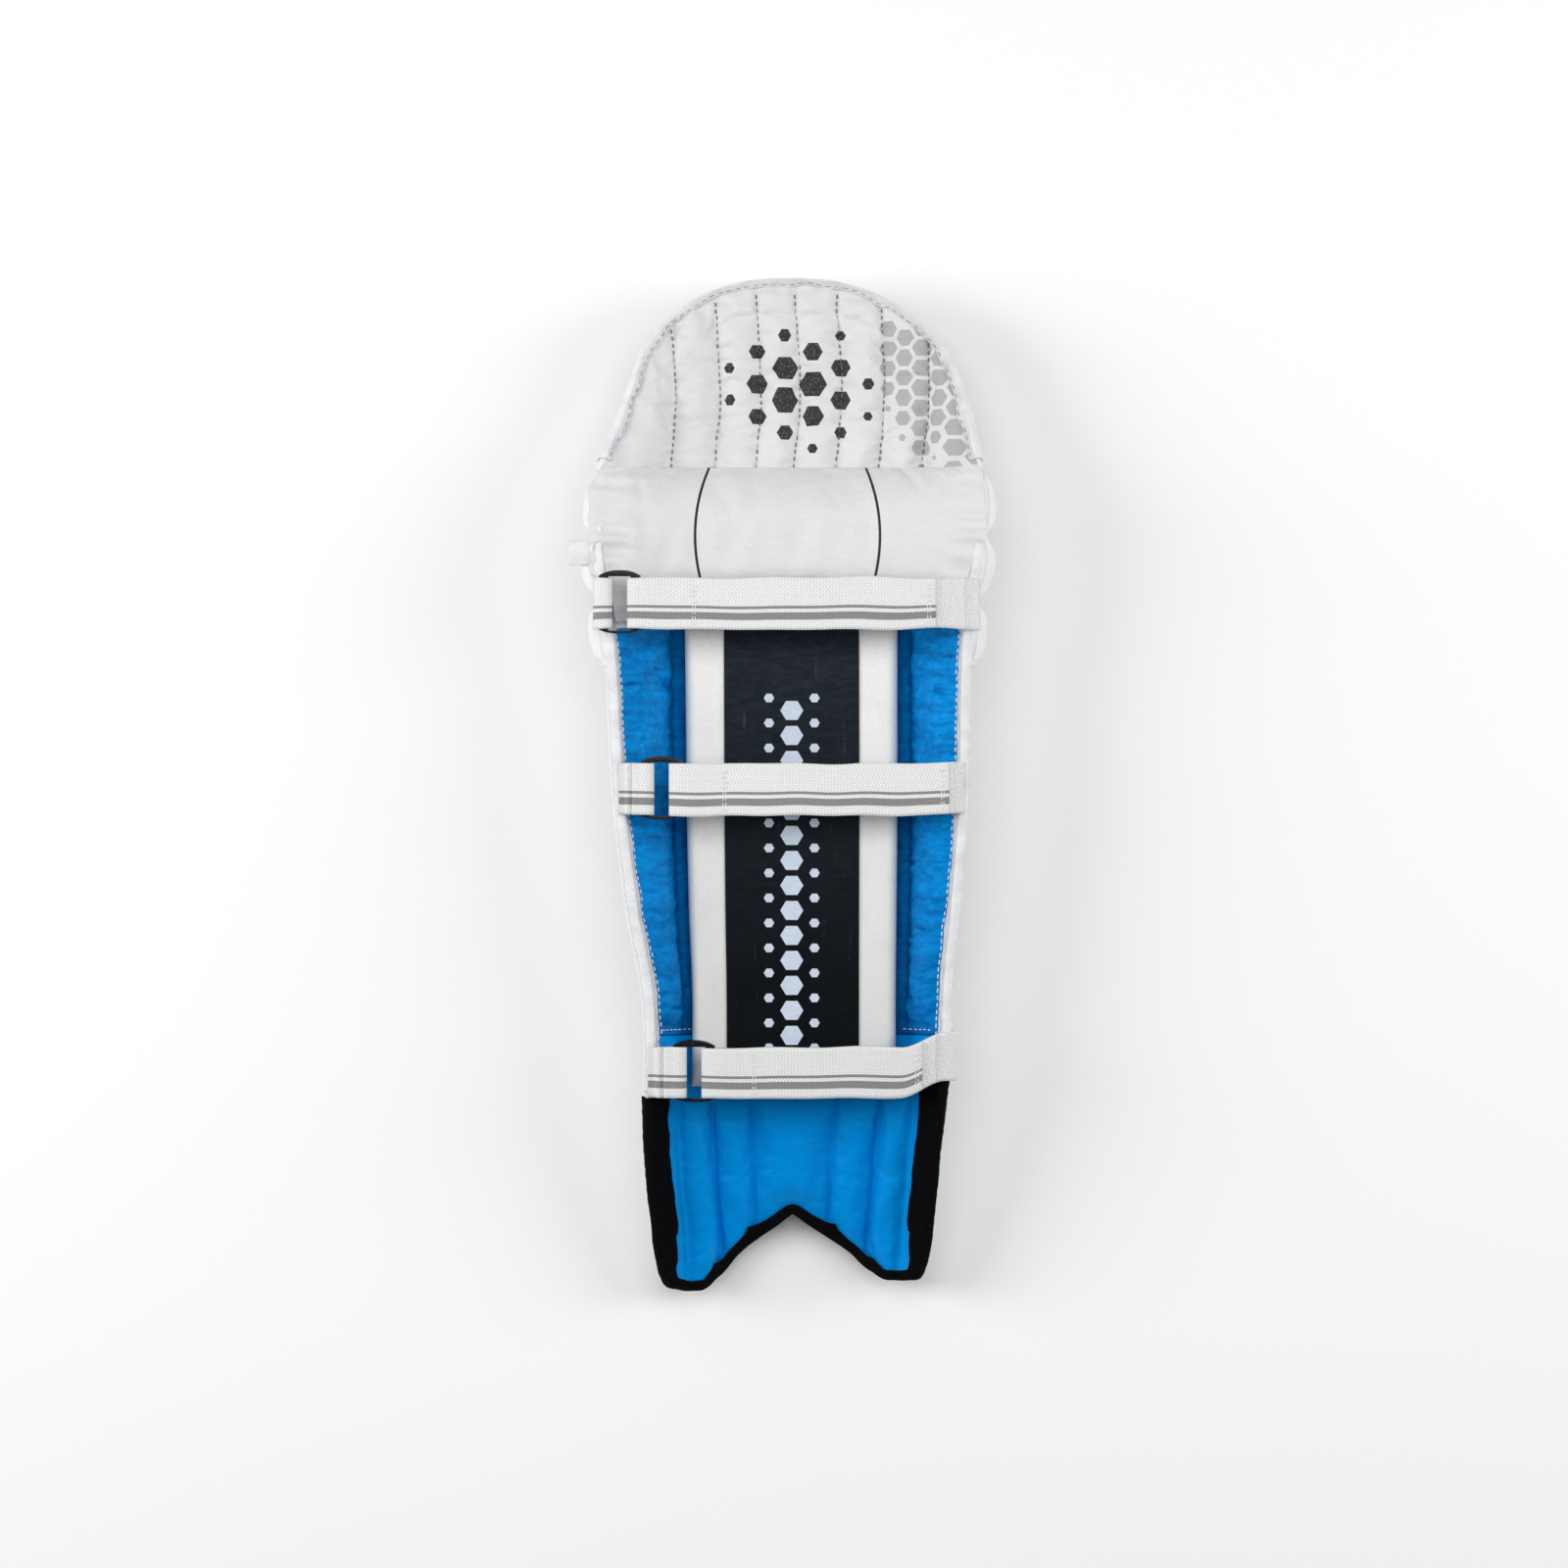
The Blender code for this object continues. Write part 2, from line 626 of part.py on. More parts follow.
def make_instep_binding(collection):
    top = ANKLE_Y - 0.24 * INSTEP_LENGTH
    left = [(edge(y, -1), y) for y in evenly(top, toe_end(-1) + TOE_CORNER, 5)]
    toes = [(across_at(s, toe_end(s)), toe_end(s)) for s in evenly(-0.98, 0.98, 27)]
    right = [(edge(y, 1), y) for y in evenly(toe_end(1) + TOE_CORNER, top, 5)]
    line = left + toes + right

    def depths(across, y):
        leg = LAYER_GAP / 2 + instep_depth(across, y, over_seams=True)
        return leg, BACK_GAP + face_depth(across, y, over_seams=True)

    def reaches(i):
        on_side = i < len(left) or i >= len(left) + len(toes)
        return (INSTEP_SIDE_BINDING if on_side else INSTEP_END_BINDING), INSTEP_END_BINDING

    make_binding("instep_binding", line, depths, reaches, TOE_CLEAR, "black", collection)


# Straps


def strap_y(strap):
    return ANKLE_Y + (KNEE_TOP_Y - ANKLE_Y) * strap.up


def sewn_points(strap, side):
    """Outer and inner end of where the strap is sewn down at the pad's edge, as x and z. It
    lies on the end of a knee roll or over the binding."""
    y = strap_y(strap)
    at = edge(y, side)
    lift = STRAP_CLEAR + STRAP_THICKNESS / 2
    if strap.on_roll:
        at += side * (lift + ROLL_SEAT_CLEAR)
        return [bend(at, y, -depth)[::2] for depth in (strap.sewn, 0.0)]
    x, _, z = bend(at, y, 0.0)
    z += BINDING_CLEAR + BINDING_THICKNESS + STRAP_CLEAR + lift
    return [(x + side * strap.sewn, z), (x + side * (strap.sewn - SEWN_LENGTH), z)]


def strap_tilt(strap):
    """Rise of the pad's two edges for each metre up the pad, at the strap."""
    low, high = strap_y(strap) - STRAP_WIDTH / 2, strap_y(strap) + STRAP_WIDTH / 2
    rises = [bend(edge(high, s), high, 0.0)[2] - bend(edge(low, s), low, 0.0)[2] for s in (-1, 1)]
    return sum(rises) / 2 / STRAP_WIDTH


def strap_height(strap, x):
    """Height of the strap's middle line, which bows up a little between the two edges."""
    (left_x, left_z), (right_x, right_z) = sewn_points(strap, -1)[1], sewn_points(strap, 1)[1]
    share = (x - left_x) / (right_x - left_x)
    bow = STRAP_BOW * lens(2 * share - 1)
    return left_z + (right_z - left_z) * share + strap.rise + bow


def strap_x(strap, share):
    """A share of the half width at the strap, as x."""
    left_x, right_x = sewn_points(strap, -1)[1][0], sewn_points(strap, 1)[1][0]
    return (left_x + right_x) / 2 + share * (right_x - left_x) / 2


def layers_apart():
    """Half the distance between the strap's two layers where they lie on the patch."""
    return (STRAP_THICKNESS + PATCH_THICKNESS) / 2 + STRAP_CLEAR


def fold_radius():
    corner = math.hypot(RING_BAR / 2, RING_THICKNESS / 2)
    return corner + RING_CLEAR + STRAP_THICKNESS / 2


def bar_place(strap, side):
    """Middle of the ring's bar on that side of it, as x and z."""
    x = strap_x(strap, strap.ring) + side * (RING_WIDTH - RING_BAR) / 2
    return x, strap_height(strap, x)


def upper_layer(strap, x):
    """Height of the band's upper layer, which closes onto the patch beyond the ring."""
    t = min(1.0, max(0.0, (x - bar_place(strap, 1)[0]) / STRAP_CLOSING))
    spread = fold_radius() + (layers_apart() - fold_radius()) * t * t * (3 - 2 * t)
    return strap_height(strap, x) + spread


def lower_layer(strap, x):
    """Height of the band's lower layer, which comes down to where it is sewn at the right."""
    sewn_x, sewn_z = sewn_points(strap, 1)[1]
    above = 2 * strap_height(strap, x) - upper_layer(strap, x)
    near = max(0.0, 1 - (sewn_x - x) / STRAP_DROP_LENGTH)
    drop = strap_height(strap, sewn_x) - layers_apart() - sewn_z
    return above - drop * near * near


def turn_points(centre, start, end):
    """Points of the turn round a ring's bar between two angles, in degrees."""
    count = max(3, round(abs(end - start) / FOLD_STEP))
    angles = [math.radians(a) for a in evenly(start, end, count)]
    return [
        (centre[0] + fold_radius() * math.cos(a), centre[1] + fold_radius() * math.sin(a))
        for a in angles
    ]


def round_the_edge(strap):
    """From the pad's outer face up round its right edge, as x and z."""
    y = strap_y(strap)
    at = edge(y, 1)
    lift = STRAP_CLEAR + STRAP_THICKNESS / 2
    points = []
    for back in (STRAP_END, 0.6 * STRAP_END, 0.25 * STRAP_END):
        out = -BACK_GAP - face_depth(at - back, y, over_seams=True) - 2 * lift - EDGE_DEPTH / 2
        points.append(bend(at - back, y, out)[::2])
    points.append(bend(at + 2 * lift + EDGE_DEPTH / 2, y, -EDGE_DEPTH)[::2])
    return points


def band_path(strap):
    """The band from the right edge to the ring, round its bar and back to the free end."""
    bar = bar_place(strap, 1)
    outer, inner = sewn_points(strap, 1)
    dropped = inner[0] - STRAP_DROP_LENGTH
    xs = [*evenly(inner[0], dropped, 6), *evenly(dropped, bar[0], 11)[1:-1]]
    path = round_the_edge(strap) if strap.outside else []
    path += [outer, *((x, lower_layer(strap, x)) for x in xs)]
    path += turn_points(bar, 270, 90)
    ends = evenly(bar[0], strap_x(strap, strap.free_end), 13)[1:]
    return path + [(x, upper_layer(strap, x)) for x in ends]


def tab_path(strap):
    """The tab from the left edge up to the ring, round its bar and a little way back under."""
    outer, inner = (np.array(point) for point in sewn_points(strap, -1))
    bar = np.array(bar_place(strap, -1))
    start = outer + (inner - outer) * SEWN_LENGTH / np.hypot(*(inner - outer))
    away = start - bar
    entry = math.atan2(away[1], away[0]) % (2 * math.pi)
    entry -= math.acos(fold_radius() / np.hypot(*away))
    turn = turn_points(bar, math.degrees(entry), -90)
    path = [outer, start, (start + turn[0]) / 2, *turn]
    if bar[0] - TAB_RETURN > start[0] + TAB_RETURN:
        path.append((bar[0] - TAB_RETURN, bar[1] - fold_radius()))
    return path


def patch_path(strap):
    """The pile patch, on the band's lower layer from under the free end to the pad's edge."""
    start = strap_x(strap, strap.free_end) - PATCH_OVERLAP
    end = sewn_points(strap, 1)[1][0] - PATCH_END
    return [(x, lower_layer(strap, x) + layers_apart()) for x in evenly(start, end, 10)]


def climb(strap, x):
    """How far the strap has moved up the pad at x."""
    start, end = strap_x(strap, strap.free_end - 0.15), sewn_points(strap, 1)[0][0]
    t = min(1.0, max(0.0, (x - start) / (end - start)))
    return strap.climb * STRAP_WIDTH * t * t * (3 - 2 * t)


def make_strap_piece(name, strap, path, thickness, material_name, collection):
    tilt = math.atan(strap_tilt(strap))

    def place(side, i):
        x, z = path[i]
        up = climb(strap, x) + side * STRAP_WIDTH / 2
        return float(x), strap_y(strap) + up * math.cos(tilt), float(z + up * math.sin(tilt))

    return strip(name, (-1, 1), range(len(path)), place, thickness, material_name, collection)


def ring_outline(half_width, half_height, crown):
    """A closed outline with straight sides and bowed ends."""
    return [
        (side * half_width * share, side * (half_height - crown * abs(share) ** 2.5))
        for side in (1, -1)
        for share in evenly(1, -1, 9)
    ]


def make_ring(strap, collection):
    window = STRAP_WIDTH / 2 + RING_CLEAR
    outer = ring_outline(RING_WIDTH / 2, window + RING_CAP, RING_CAP * 0.8)
    inner = ring_outline(RING_WIDTH / 2 - RING_BAR, window, 0.0)
    half = RING_THICKNESS / 2
    mesh_data = bmesh.new()
    loops = [
        [mesh_data.verts.new((x, y, z)) for x, y in outline]
        for outline, z in ((outer, half), (inner, half), (inner, -half), (outer, -half))
    ]
    for loop, following in zip(loops, loops[1:] + loops[:1]):
        for k in range(len(loop)):
            after = (k + 1) % len(loop)
            mesh_data.faces.new((loop[k], loop[after], following[after], following[k]))
    bmesh.ops.recalc_face_normals(mesh_data, faces=mesh_data.faces[:])
    mesh = bpy.data.meshes.new(f"{strap.name}_ring")
    mesh_data.to_mesh(mesh)
    mesh_data.free()
    ring = add_object(f"{strap.name}_ring", mesh, "ring", collection)
    (left_x, left_z), (right_x, right_z) = bar_place(strap, -1), bar_place(strap, 1)
    ring.location = ((left_x + right_x) / 2, strap_y(strap), (left_z + right_z) / 2)
    ring.rotation_mode = "YXZ"
    ring.rotation_euler.x = math.atan(strap_tilt(strap))
    ring.rotation_euler.y = -math.atan2(right_z - left_z, right_x - left_x)
    return ring


def make_straps(collection):
    for strap in STRAPS:
        for part, path, thickness, material_name in (
            ("band", band_path(strap), STRAP_THICKNESS, "elastic"),
            ("tab", tab_path(strap), STRAP_THICKNESS, "elastic"),
            ("patch", patch_path(strap), PATCH_THICKNESS, "white"),
        ):
            name = f"{strap.name}_{part}"
            make_strap_piece(name, strap, path, thickness, material_name, collection)
        make_ring(strap, collection)


def make_label(collection):
    y = KNEE_TOP_Y - 0.42 * KNEE_HEIGHT
    at = edge(y, -1) - LABEL_CLEAR - LABEL_THICKNESS / 2
    x, _, z = bend(at, y, -LABEL_OUT)
    inner_x, _, inner_z = bend(at, y, 0.0)
    mesh_data = bmesh.new()
    bmesh.ops.create_cube(mesh_data, size=1.0)
    bmesh.ops.scale(
        mesh_data, vec=(LABEL_LENGTH, LABEL_WIDTH, LABEL_THICKNESS), verts=mesh_data.verts
    )
    mesh = bpy.data.meshes.new("edge_label")
    mesh_data.to_mesh(mesh)
    mesh_data.free()
    label = add_object("edge_label", mesh, "white", collection)
    label.location = (x, y, z)
    label.rotation_euler.y = -math.atan2(inner_z - z, inner_x - x)
    return label


def main():
    for obj in list(bpy.data.objects):
        bpy.data.objects.remove(obj)
    collection = bpy.data.collections.new("batting_pad")
    bpy.context.scene.collection.children.link(collection)
    make_front_face(collection)
    make_shin_lining(collection)
    make_instep_lining(collection)
    make_shin_bolster(collection)
    make_bolster_panel(collection)
    make_knee_bolster(collection)
    for number, name in enumerate(("lower", "middle", "upper")):
        make_knee_roll(f"knee_roll_{name}", number, collection)
    make_top_hat(collection)
    make_shin_bindings(collection)
    make_top_hat_binding(collection)
    make_instep_binding(collection)
    make_straps(collection)
    make_label(collection)


main()
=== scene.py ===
"""Looks of the cricket batting pad: its cloth, padding, seams, straps, camera and lights.

Metres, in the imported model's frame. The soft pieces are laid out flat, puffed by a cloth
simulation where they are padded, and bent round the leg as the pad's solids are. A flat place is
across (from the middle line), y (up the pad) and out (towards the leg).
"""

import math
from collections import namedtuple

import bmesh
import bpy
import numpy as np
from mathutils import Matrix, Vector


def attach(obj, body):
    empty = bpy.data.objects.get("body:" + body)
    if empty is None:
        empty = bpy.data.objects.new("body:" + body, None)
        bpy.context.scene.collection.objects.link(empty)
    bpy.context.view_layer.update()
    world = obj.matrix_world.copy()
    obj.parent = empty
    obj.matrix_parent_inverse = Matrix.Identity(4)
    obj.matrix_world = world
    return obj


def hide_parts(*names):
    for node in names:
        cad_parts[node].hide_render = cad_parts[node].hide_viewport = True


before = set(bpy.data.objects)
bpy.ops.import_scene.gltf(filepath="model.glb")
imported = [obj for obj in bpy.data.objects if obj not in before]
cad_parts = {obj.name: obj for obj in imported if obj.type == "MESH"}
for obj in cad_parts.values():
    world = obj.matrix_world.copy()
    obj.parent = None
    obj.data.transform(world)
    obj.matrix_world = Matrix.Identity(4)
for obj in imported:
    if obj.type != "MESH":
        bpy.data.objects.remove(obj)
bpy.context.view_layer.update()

# Lengths of the pad's four zones, from the thigh down
TOP_HAT_HEIGHT = 0.1165
KNEE_HEIGHT = 0.115
SHIN_LENGTH = 0.218
INSTEP_LENGTH = 0.1545

# Bend of the pad round the leg
SEAM_HEIGHT = 0.031
FLAT_HALF = 0.036
BEND_RADIUS = 0.070
LEAN = 0.009

# Layers, measured out from the seam surface
LAYER_GAP = 0.0005
FACE_SEAM_DEPTH = 0.004
CANE_DEPTH = 0.009
OUTER_CANE = 0.5
EDGE_DEPTH = 0.002
EDGE_ROUND = 0.018
FACE_FLOOR = 0.0016
BACK_GAP = 0.0009
SEAT_GAP = 0.0012
END_INSET = 0.0021
LINING_MIDDLE = 0.006
LINING_PUFF = 0.009
LINING_SEAM_DEPTH = 0.002
LINING_SEAM_ACROSS = 0.0745
INSTEP_PUFF = 0.007
INSTEP_FLAT = 0.16

# Bolsters, rolls and top hat
BOLSTER_MIDDLE_X = 0.004
BOLSTER_HALF = 0.0615
BOLSTER_DEPTH = 0.024
BOLSTER_FOOT = 0.031
PANEL_HALF = 0.0385
PANEL_THICKNESS = 0.0012
KNEE_BOLSTER_HEIGHT = 0.089
KNEE_BOLSTER_DEPTH = 0.028
KNEE_BOLSTER_RIM = 0.0012
ROLL_DEPTH = 0.036
ROLL_END_DEPTH = 0.0165
ROLL_COUNT = 3
ROLL_GAP = 0.0008
TOP_HAT_HALF = 0.1265
TOP_HAT_BACK = 0.004
TOP_HAT_FRONT = 0.007
TOP_HAT_PUFF = 0.004
TOP_HAT_TAPER = 0.27
TOP_HAT_STRAIGHT = 0.665
TOP_HAT_DROP = 0.38
NOTCH_DEPTH = 0.0455

# Bindings
BINDING_THICKNESS = 0.0010
BINDING_CLEAR = 0.0009
TOE_CORNER = 0.006
INSTEP_SIDE_BINDING = 0.016

# Straps
STRAP_WIDTH = 0.0305
STRAP_THICKNESS = 0.0014
PATCH_THICKNESS = 0.0010
STRAP_CLEAR = 0.0004
STRAP_BOW = 0.007
STRAP_END = 0.014
STRAP_DROP_LENGTH = 0.028
STRAP_CLOSING = 0.028
PATCH_OVERLAP = 0.030
PATCH_END = 0.003
SEWN_LENGTH = 0.003
ROLL_SEAT_CLEAR = 0.0012
TAB_RETURN = 0.006
RING_WIDTH = 0.0245
RING_BAR = 0.0055
RING_THICKNESS = 0.003
RING_CLEAR = 0.0007
RING_TOP_CAP = 0.0036
RING_BOTTOM_CAP = 0.0017
TAB_FOLD = 0.0032

# Edge label
LABEL_LENGTH = 0.016
LABEL_WIDTH = 0.0145
LABEL_THICKNESS = 0.0006
LABEL_OUT = 0.0105
LABEL_CLEAR = 0.0009
LABEL_DOWN = 0.42

# Places up the pad
PAD_LENGTH = TOP_HAT_HEIGHT + KNEE_HEIGHT + SHIN_LENGTH + INSTEP_LENGTH
TOP_Y = PAD_LENGTH / 2
KNEE_TOP_Y = TOP_Y - TOP_HAT_HEIGHT
KNEE_Y = KNEE_TOP_Y - KNEE_HEIGHT
ANKLE_Y = KNEE_Y - SHIN_LENGTH
TOE_Y = ANKLE_Y - INSTEP_LENGTH

# Cross-sections from the thigh down: the place as a share of a zone measured down from its
# top, then shares of SEAM_HEIGHT, LEAN, FLAT_HALF and BEND_RADIUS, and the wraps in degrees
Section = namedtuple("Section", "zone_top zone_length down height centre flat radius left right")
SECTIONS = (
    Section(TOP_Y, TOP_HAT_HEIGHT, 0.0, 1.42, 0.35, 1.0, 1.90, 40, 40),
    Section(TOP_Y, TOP_HAT_HEIGHT, 0.6, 1.22, 0.70, 1.0, 1.60, 46, 46),
    Section(KNEE_TOP_Y, KNEE_HEIGHT, 0.0, 1.10, 0.30, 1.0, 1.35, 53, 54),
    Section(KNEE_TOP_Y, KNEE_HEIGHT, 0.45, 1.08, 0.17, 1.0, 1.15, 69, 70),
    Section(KNEE_TOP_Y, KNEE_HEIGHT, 1.0, 1.05, 0.32, 1.0, 1.01, 76, 73),
    Section(KNEE_Y, SHIN_LENGTH, 0.25, 1.00, 0.48, 1.0, 0.97, 80, 74),
    Section(KNEE_Y, SHIN_LENGTH, 0.65, 1.00, 0.72, 0.92, 0.907, 81, 73),
    Section(KNEE_Y, SHIN_LENGTH, 1.0, 1.00, 0.98, 0.84, 0.84, 78, 72),
    Section(ANKLE_Y, INSTEP_LENGTH, 0.25, 0.92, 0.74, 0.84, 0.845, 72, 68),
    Section(ANKLE_Y, INSTEP_LENGTH, 0.55, 0.67, 0.54, 0.84, 0.85, 64, 62),
    Section(ANKLE_Y, INSTEP_LENGTH, 1.0, 0.34, 0.50, 0.84, 0.85, 56, 56),
)

# End of the instep, from its left edge to its right: shares of the flat half width, and of
# NOTCH_DEPTH below the top of the notch
TOE_LINE = (
    (-1.00, 0.50), (-0.94, 0.78), (-0.82, 0.97), (-0.68, 1.00), (-0.52, 0.84), (-0.38, 0.55),
    (-0.24, 0.33), (-0.10, 0.14), (-0.03, 0.03), (0.00, 0.00), (0.03, 0.03), (0.10, 0.13),
    (0.24, 0.31), (0.40, 0.52), (0.55, 0.76), (0.70, 0.86),
    (0.84, 0.85), (0.95, 0.66), (1.00, 0.44),
)

# Seams as shares of the half width
FACE_SEAMS = (-1.0, -5 / 7, -3 / 7, -1 / 7, 1 / 7, 3 / 7, 5 / 7, 1.0)
TOP_HAT_SEAMS = (-1.0, -0.58, -0.357, -0.16, 0.02, 0.217, 0.425, 0.65, 1.0)
INSTEP_SEAMS = (-1.0, -0.74, -0.495, -0.245, 0.236, 0.525, 0.76, 1.0)

# Straps: place up the pad as a share of the way from the ankle to the top of the knee, the ring
# and the free end as shares of the half width, the right end's climb as a share of the strap's
# width, how it is sewn, and the band's two rows of stitches as shares of the half width
Strap = namedtuple("Strap", "name up ring free_end climb sewn rise on_roll outside rows")
STRAPS = (
    Strap("upper", 0.764, -0.915, 0.808, 0.00, 0.0055, 0.0085, True, False, (-0.51, 0.77)),
    Strap("middle", 0.436, -0.775, 0.939, 0.05, 0.0005, 0.0030, False, False, (-0.40, 0.90)),
    Strap("lower", -0.065, -0.715, 0.865, 0.30, 0.0015, 0.0030, False, True, (-0.30, 0.83)),
)
# Grey stripes of the elastic, as shares of its width from its upper edge
STRIPES = ((0.545, 0.600), (0.670, 0.810))
# Soft folds of the tabs: shares of the way from the pad's edge to the ring, and of TAB_FOLD
TAB_FOLDS = ((0.15, 0.0), (0.35, 1.0), (0.5, -0.6), (0.68, 0.8), (0.85, 0.0))

# How thin the edge tapes press the padding, as a share, and how far in from the edge
EDGE_SLIM = 0.45
EDGE_SLIM_REACH = 0.009
# How close the edge tapes lie on the padding, and how far in they reach
TAPE_CLEAR = 0.0004
SHIN_TAPE_REACH = 0.0028
TOP_HAT_TAPE_REACH = 0.0034
INSTEP_TAPE_REACH = 0.0052
# Depth of the pad's edge under the side tapes where the knee rolls are
KNEE_EDGE_DEPTH = 0.0016

# The tapes' stitches: how far in from a tape's inner edge, or past it on the lining for the side
# tapes, and how high they lie on tape, on cloth and on the front
TAPE_STITCH_IN = 0.0012
SIDE_STITCH_PAST = 0.0014
TAPE_STITCH_LIFT = 0.0006
CLOTH_STITCH_LIFT = 0.0004
FRONT_STITCH_LIFT = 0.0005
STITCH_FLOOR = 0.0004

# Where the padding's cloth is held down: this close to a seam, this far past the side tapes, and
# this far inside the bolster's edge
HELD_BY_SEAM = 0.0009
HELD_PAST_TAPE = 0.0016
HELD_IN_BOLSTER = 0.004

# Where the white side tapes give way to the black one, as shares of the instep from its top
TAPE_CHANGE = {-1: 0.24, 1: 0.165}

# How much wider the bolster and its panel swell than their solids
BOLSTER_SWELL = 1.09
PANEL_SWELL = 1.05
PANEL_END_ANGLE = 80.5
PANEL_LIFT = 0.0003
PANEL_CROWN = 0.0002

# How far the knee bolster hangs over the pad's two edges, and between which heights up the pad
# that comes in
KNEE_OVERHANG = {-1: 0.0105, 1: 0.0075}
KNEE_OVERHANG_FROM = 0.117
KNEE_OVERHANG_FULL = 0.1245
KNEE_BOLSTER_SHARE = 0.985

# Heights up the pad where the lining ends under the knee bolster, and above which it is white
LINING_TOP_Y = KNEE_TOP_Y - 0.004
WHITE_LINING_Y = 0.0925

# Prints, in the plan of the pad
HEXAGON_GREY = (0.40, 0.40, 0.41)
SIDE_PRINT_PITCH = 0.0102
SIDE_PRINT_LEFT_X = 0.050
SIDE_PRINT_TOP_Y = 0.271
SIDE_PRINT_CORNER = (0.0617, 0.2173)
SIDE_PRINT_SLANT = (0.883, 0.469)
SIDE_PRINT_BREAK_X = 0.083
CENTRE_PRINT_PITCH = 0.0165
CENTRE_PRINT_MIDDLE = (0.008, 0.236)
PANEL_PRINT_PITCH = 0.0128
PANEL_PRINT_TOP_Y = 0.058
BOLSTER_LINE_MIDDLE = 0.0015
BOLSTER_LINE_X = 0.0546
BOLSTER_LINE_Y = 0.1475
BOLSTER_LINE_CURVE = 4.84
BOLSTER_LINE_WIDTH = 0.0016

# Camera and photograph
PHOTO_PIXEL = 0.00058
PHOTO_PIXELS = 1600
CAMERA_HEIGHT = 5.0
CAMERA_AIM_HEIGHT = 0.06
CAMERA_SENSOR_MM = 36.0
FLOOR_GREY = 0.86
BACKDROP_STRENGTH = 0.29


# The flat pad and how it bends


def smooth_through(places, values, at):
    """A smooth curve through the values, with no overshoot between them."""
    places, values = np.asarray(places, float), np.asarray(values, float)
    steps = np.diff(places)
    slopes = np.diff(values) / steps
    tangents = np.zeros(len(values))
    before, after = slopes[:-1], slopes[1:]
    same_way = before * after > 0
    tangents[1:-1][same_way] = (2 * before * after)[same_way] / (before + after)[same_way]
    i = np.clip(np.searchsorted(places, at) - 1, 0, len(steps) - 1)
    t = np.clip((at - places[i]) / steps[i], 0, 1)
    start = values[i] + tangents[i] * steps[i] * t
    end = values[i + 1] - tangents[i + 1] * steps[i] * (1 - t)
    share = t * t * (3 - 2 * t)
    return start * (1 - share) + end * share


SECTION_PLACES = [s.zone_top - s.down * s.zone_length for s in reversed(SECTIONS)]


def section(y):
    """Height, centre, flat half, bend radius and the two wraps, in radians, of sections at y."""
    scales = {
        "height": SEAM_HEIGHT,
        "centre": LEAN,
        "flat": FLAT_HALF,
        "radius": BEND_RADIUS,
        "left": math.radians(1),
        "right": math.radians(1),
    }
    return [
        scale * smooth_through(SECTION_PLACES, [getattr(s, column) for s in reversed(SECTIONS)], y)
        for column, scale in scales.items()
    ]


def bend(across, y, out, floor=0.0):
    """Points of the bent pad for flat places. It is flattened where it rests."""
    across, y, out = np.broadcast_arrays(*(np.asarray(a, float) for a in (across, y, out)))
    height, centre, flat, radius, _, _ = section(y)
    turn = np.maximum(0.0, abs(across) - flat) / radius
    reach = np.minimum(abs(across), flat) + (radius - out) * np.sin(turn)
    level = height + radius - (radius - out) * np.cos(turn)
    return np.stack([centre + np.copysign(reach, across), y, np.maximum(level, floor)], axis=-1)


def parts(places):
    """The first, second and any third numbers of all the places."""
    return np.moveaxis(places, -1, 0)


def upright(across, y, out, seat):
    """Points of padding that stands straight up off the bent pad, not square to it."""
    points = bend(across, y, out)
    points[..., 0] = bend(across, y, seat)[..., 0]
    return points


def edge(y, side):
    """Flat distance from the middle to the pad's left (-1) or right (+1) edge."""
    _, _, flat, radius, left, right = section(y)
    return side * (flat + radius * np.where(np.asarray(side) < 0, left, right))


def half_width(across, y):
    """Flat distance from the middle to the edge, on the side that each place is on."""
    return abs(edge(y, np.where(np.asarray(across) < 0, -1.0, 1.0)))


def across_at(share, y):
    """A share of the half width, from -1 at the left edge to 1 at the right, as a distance."""
    return share * half_width(share, y)


def share_at(across, y):
    return across / half_width(across, y)


def rounded(share, power=2.0):
    """A bulge that is 1 in the middle and 0 at shares -1 and 1."""
    return np.maximum(0.0, 1.0 - abs(share) ** power) ** 0.5


def lens(share):
    """A bulge that slopes gently down to 0 at shares -1 and 1."""
    return np.maximum(0.0, 1.0 - share * share)


def rise(distance):
    """How far the padding has risen at a distance in from a bound edge."""
    return lens(1.0 - np.minimum(1.0, distance / EDGE_ROUND))


def ease(low, high, value):
    """A soft step from 0 at low to 1 at high."""
    t = np.clip((value - low) / (high - low), 0, 1)
    return t * t * (3 - 2 * t)


def channel_bulge(place, seams):
    """The bulge of the channel that each place lies in, between its two seams."""
    seams = np.asarray(seams)
    i = np.clip(np.searchsorted(seams, place, side="right") - 1, 0, len(seams) - 2)
    return rounded(2 * (place - seams[i]) / (seams[i + 1] - seams[i]) - 1)


def closer_at_ends(count, degrees=90.0):
    """Places from -1 to 1, closer together near the two ends."""
    limit = math.radians(degrees)
    return np.sin(np.linspace(-limit, limit, count)) / math.sin(limit)


def channel_columns(seams, step):
    """The seams and places between them, closer together near each seam."""
    columns = [np.array(seams[:1])]
    for low, high in zip(seams, seams[1:]):
        count = max(4, round((high - low) / step))
        shares = (1 - np.cos(np.linspace(0, math.pi, count + 1))) / 2
        columns.append(low + (high - low) * (0.45 * shares + 0.55 * np.linspace(0, 1, count + 1))[1:])
    return np.concatenate(columns)


def travel_along(line):
    """How far along a line of points each of them is."""
    return np.concatenate([[0], np.cumsum(np.linalg.norm(np.diff(line, axis=0), axis=1))])


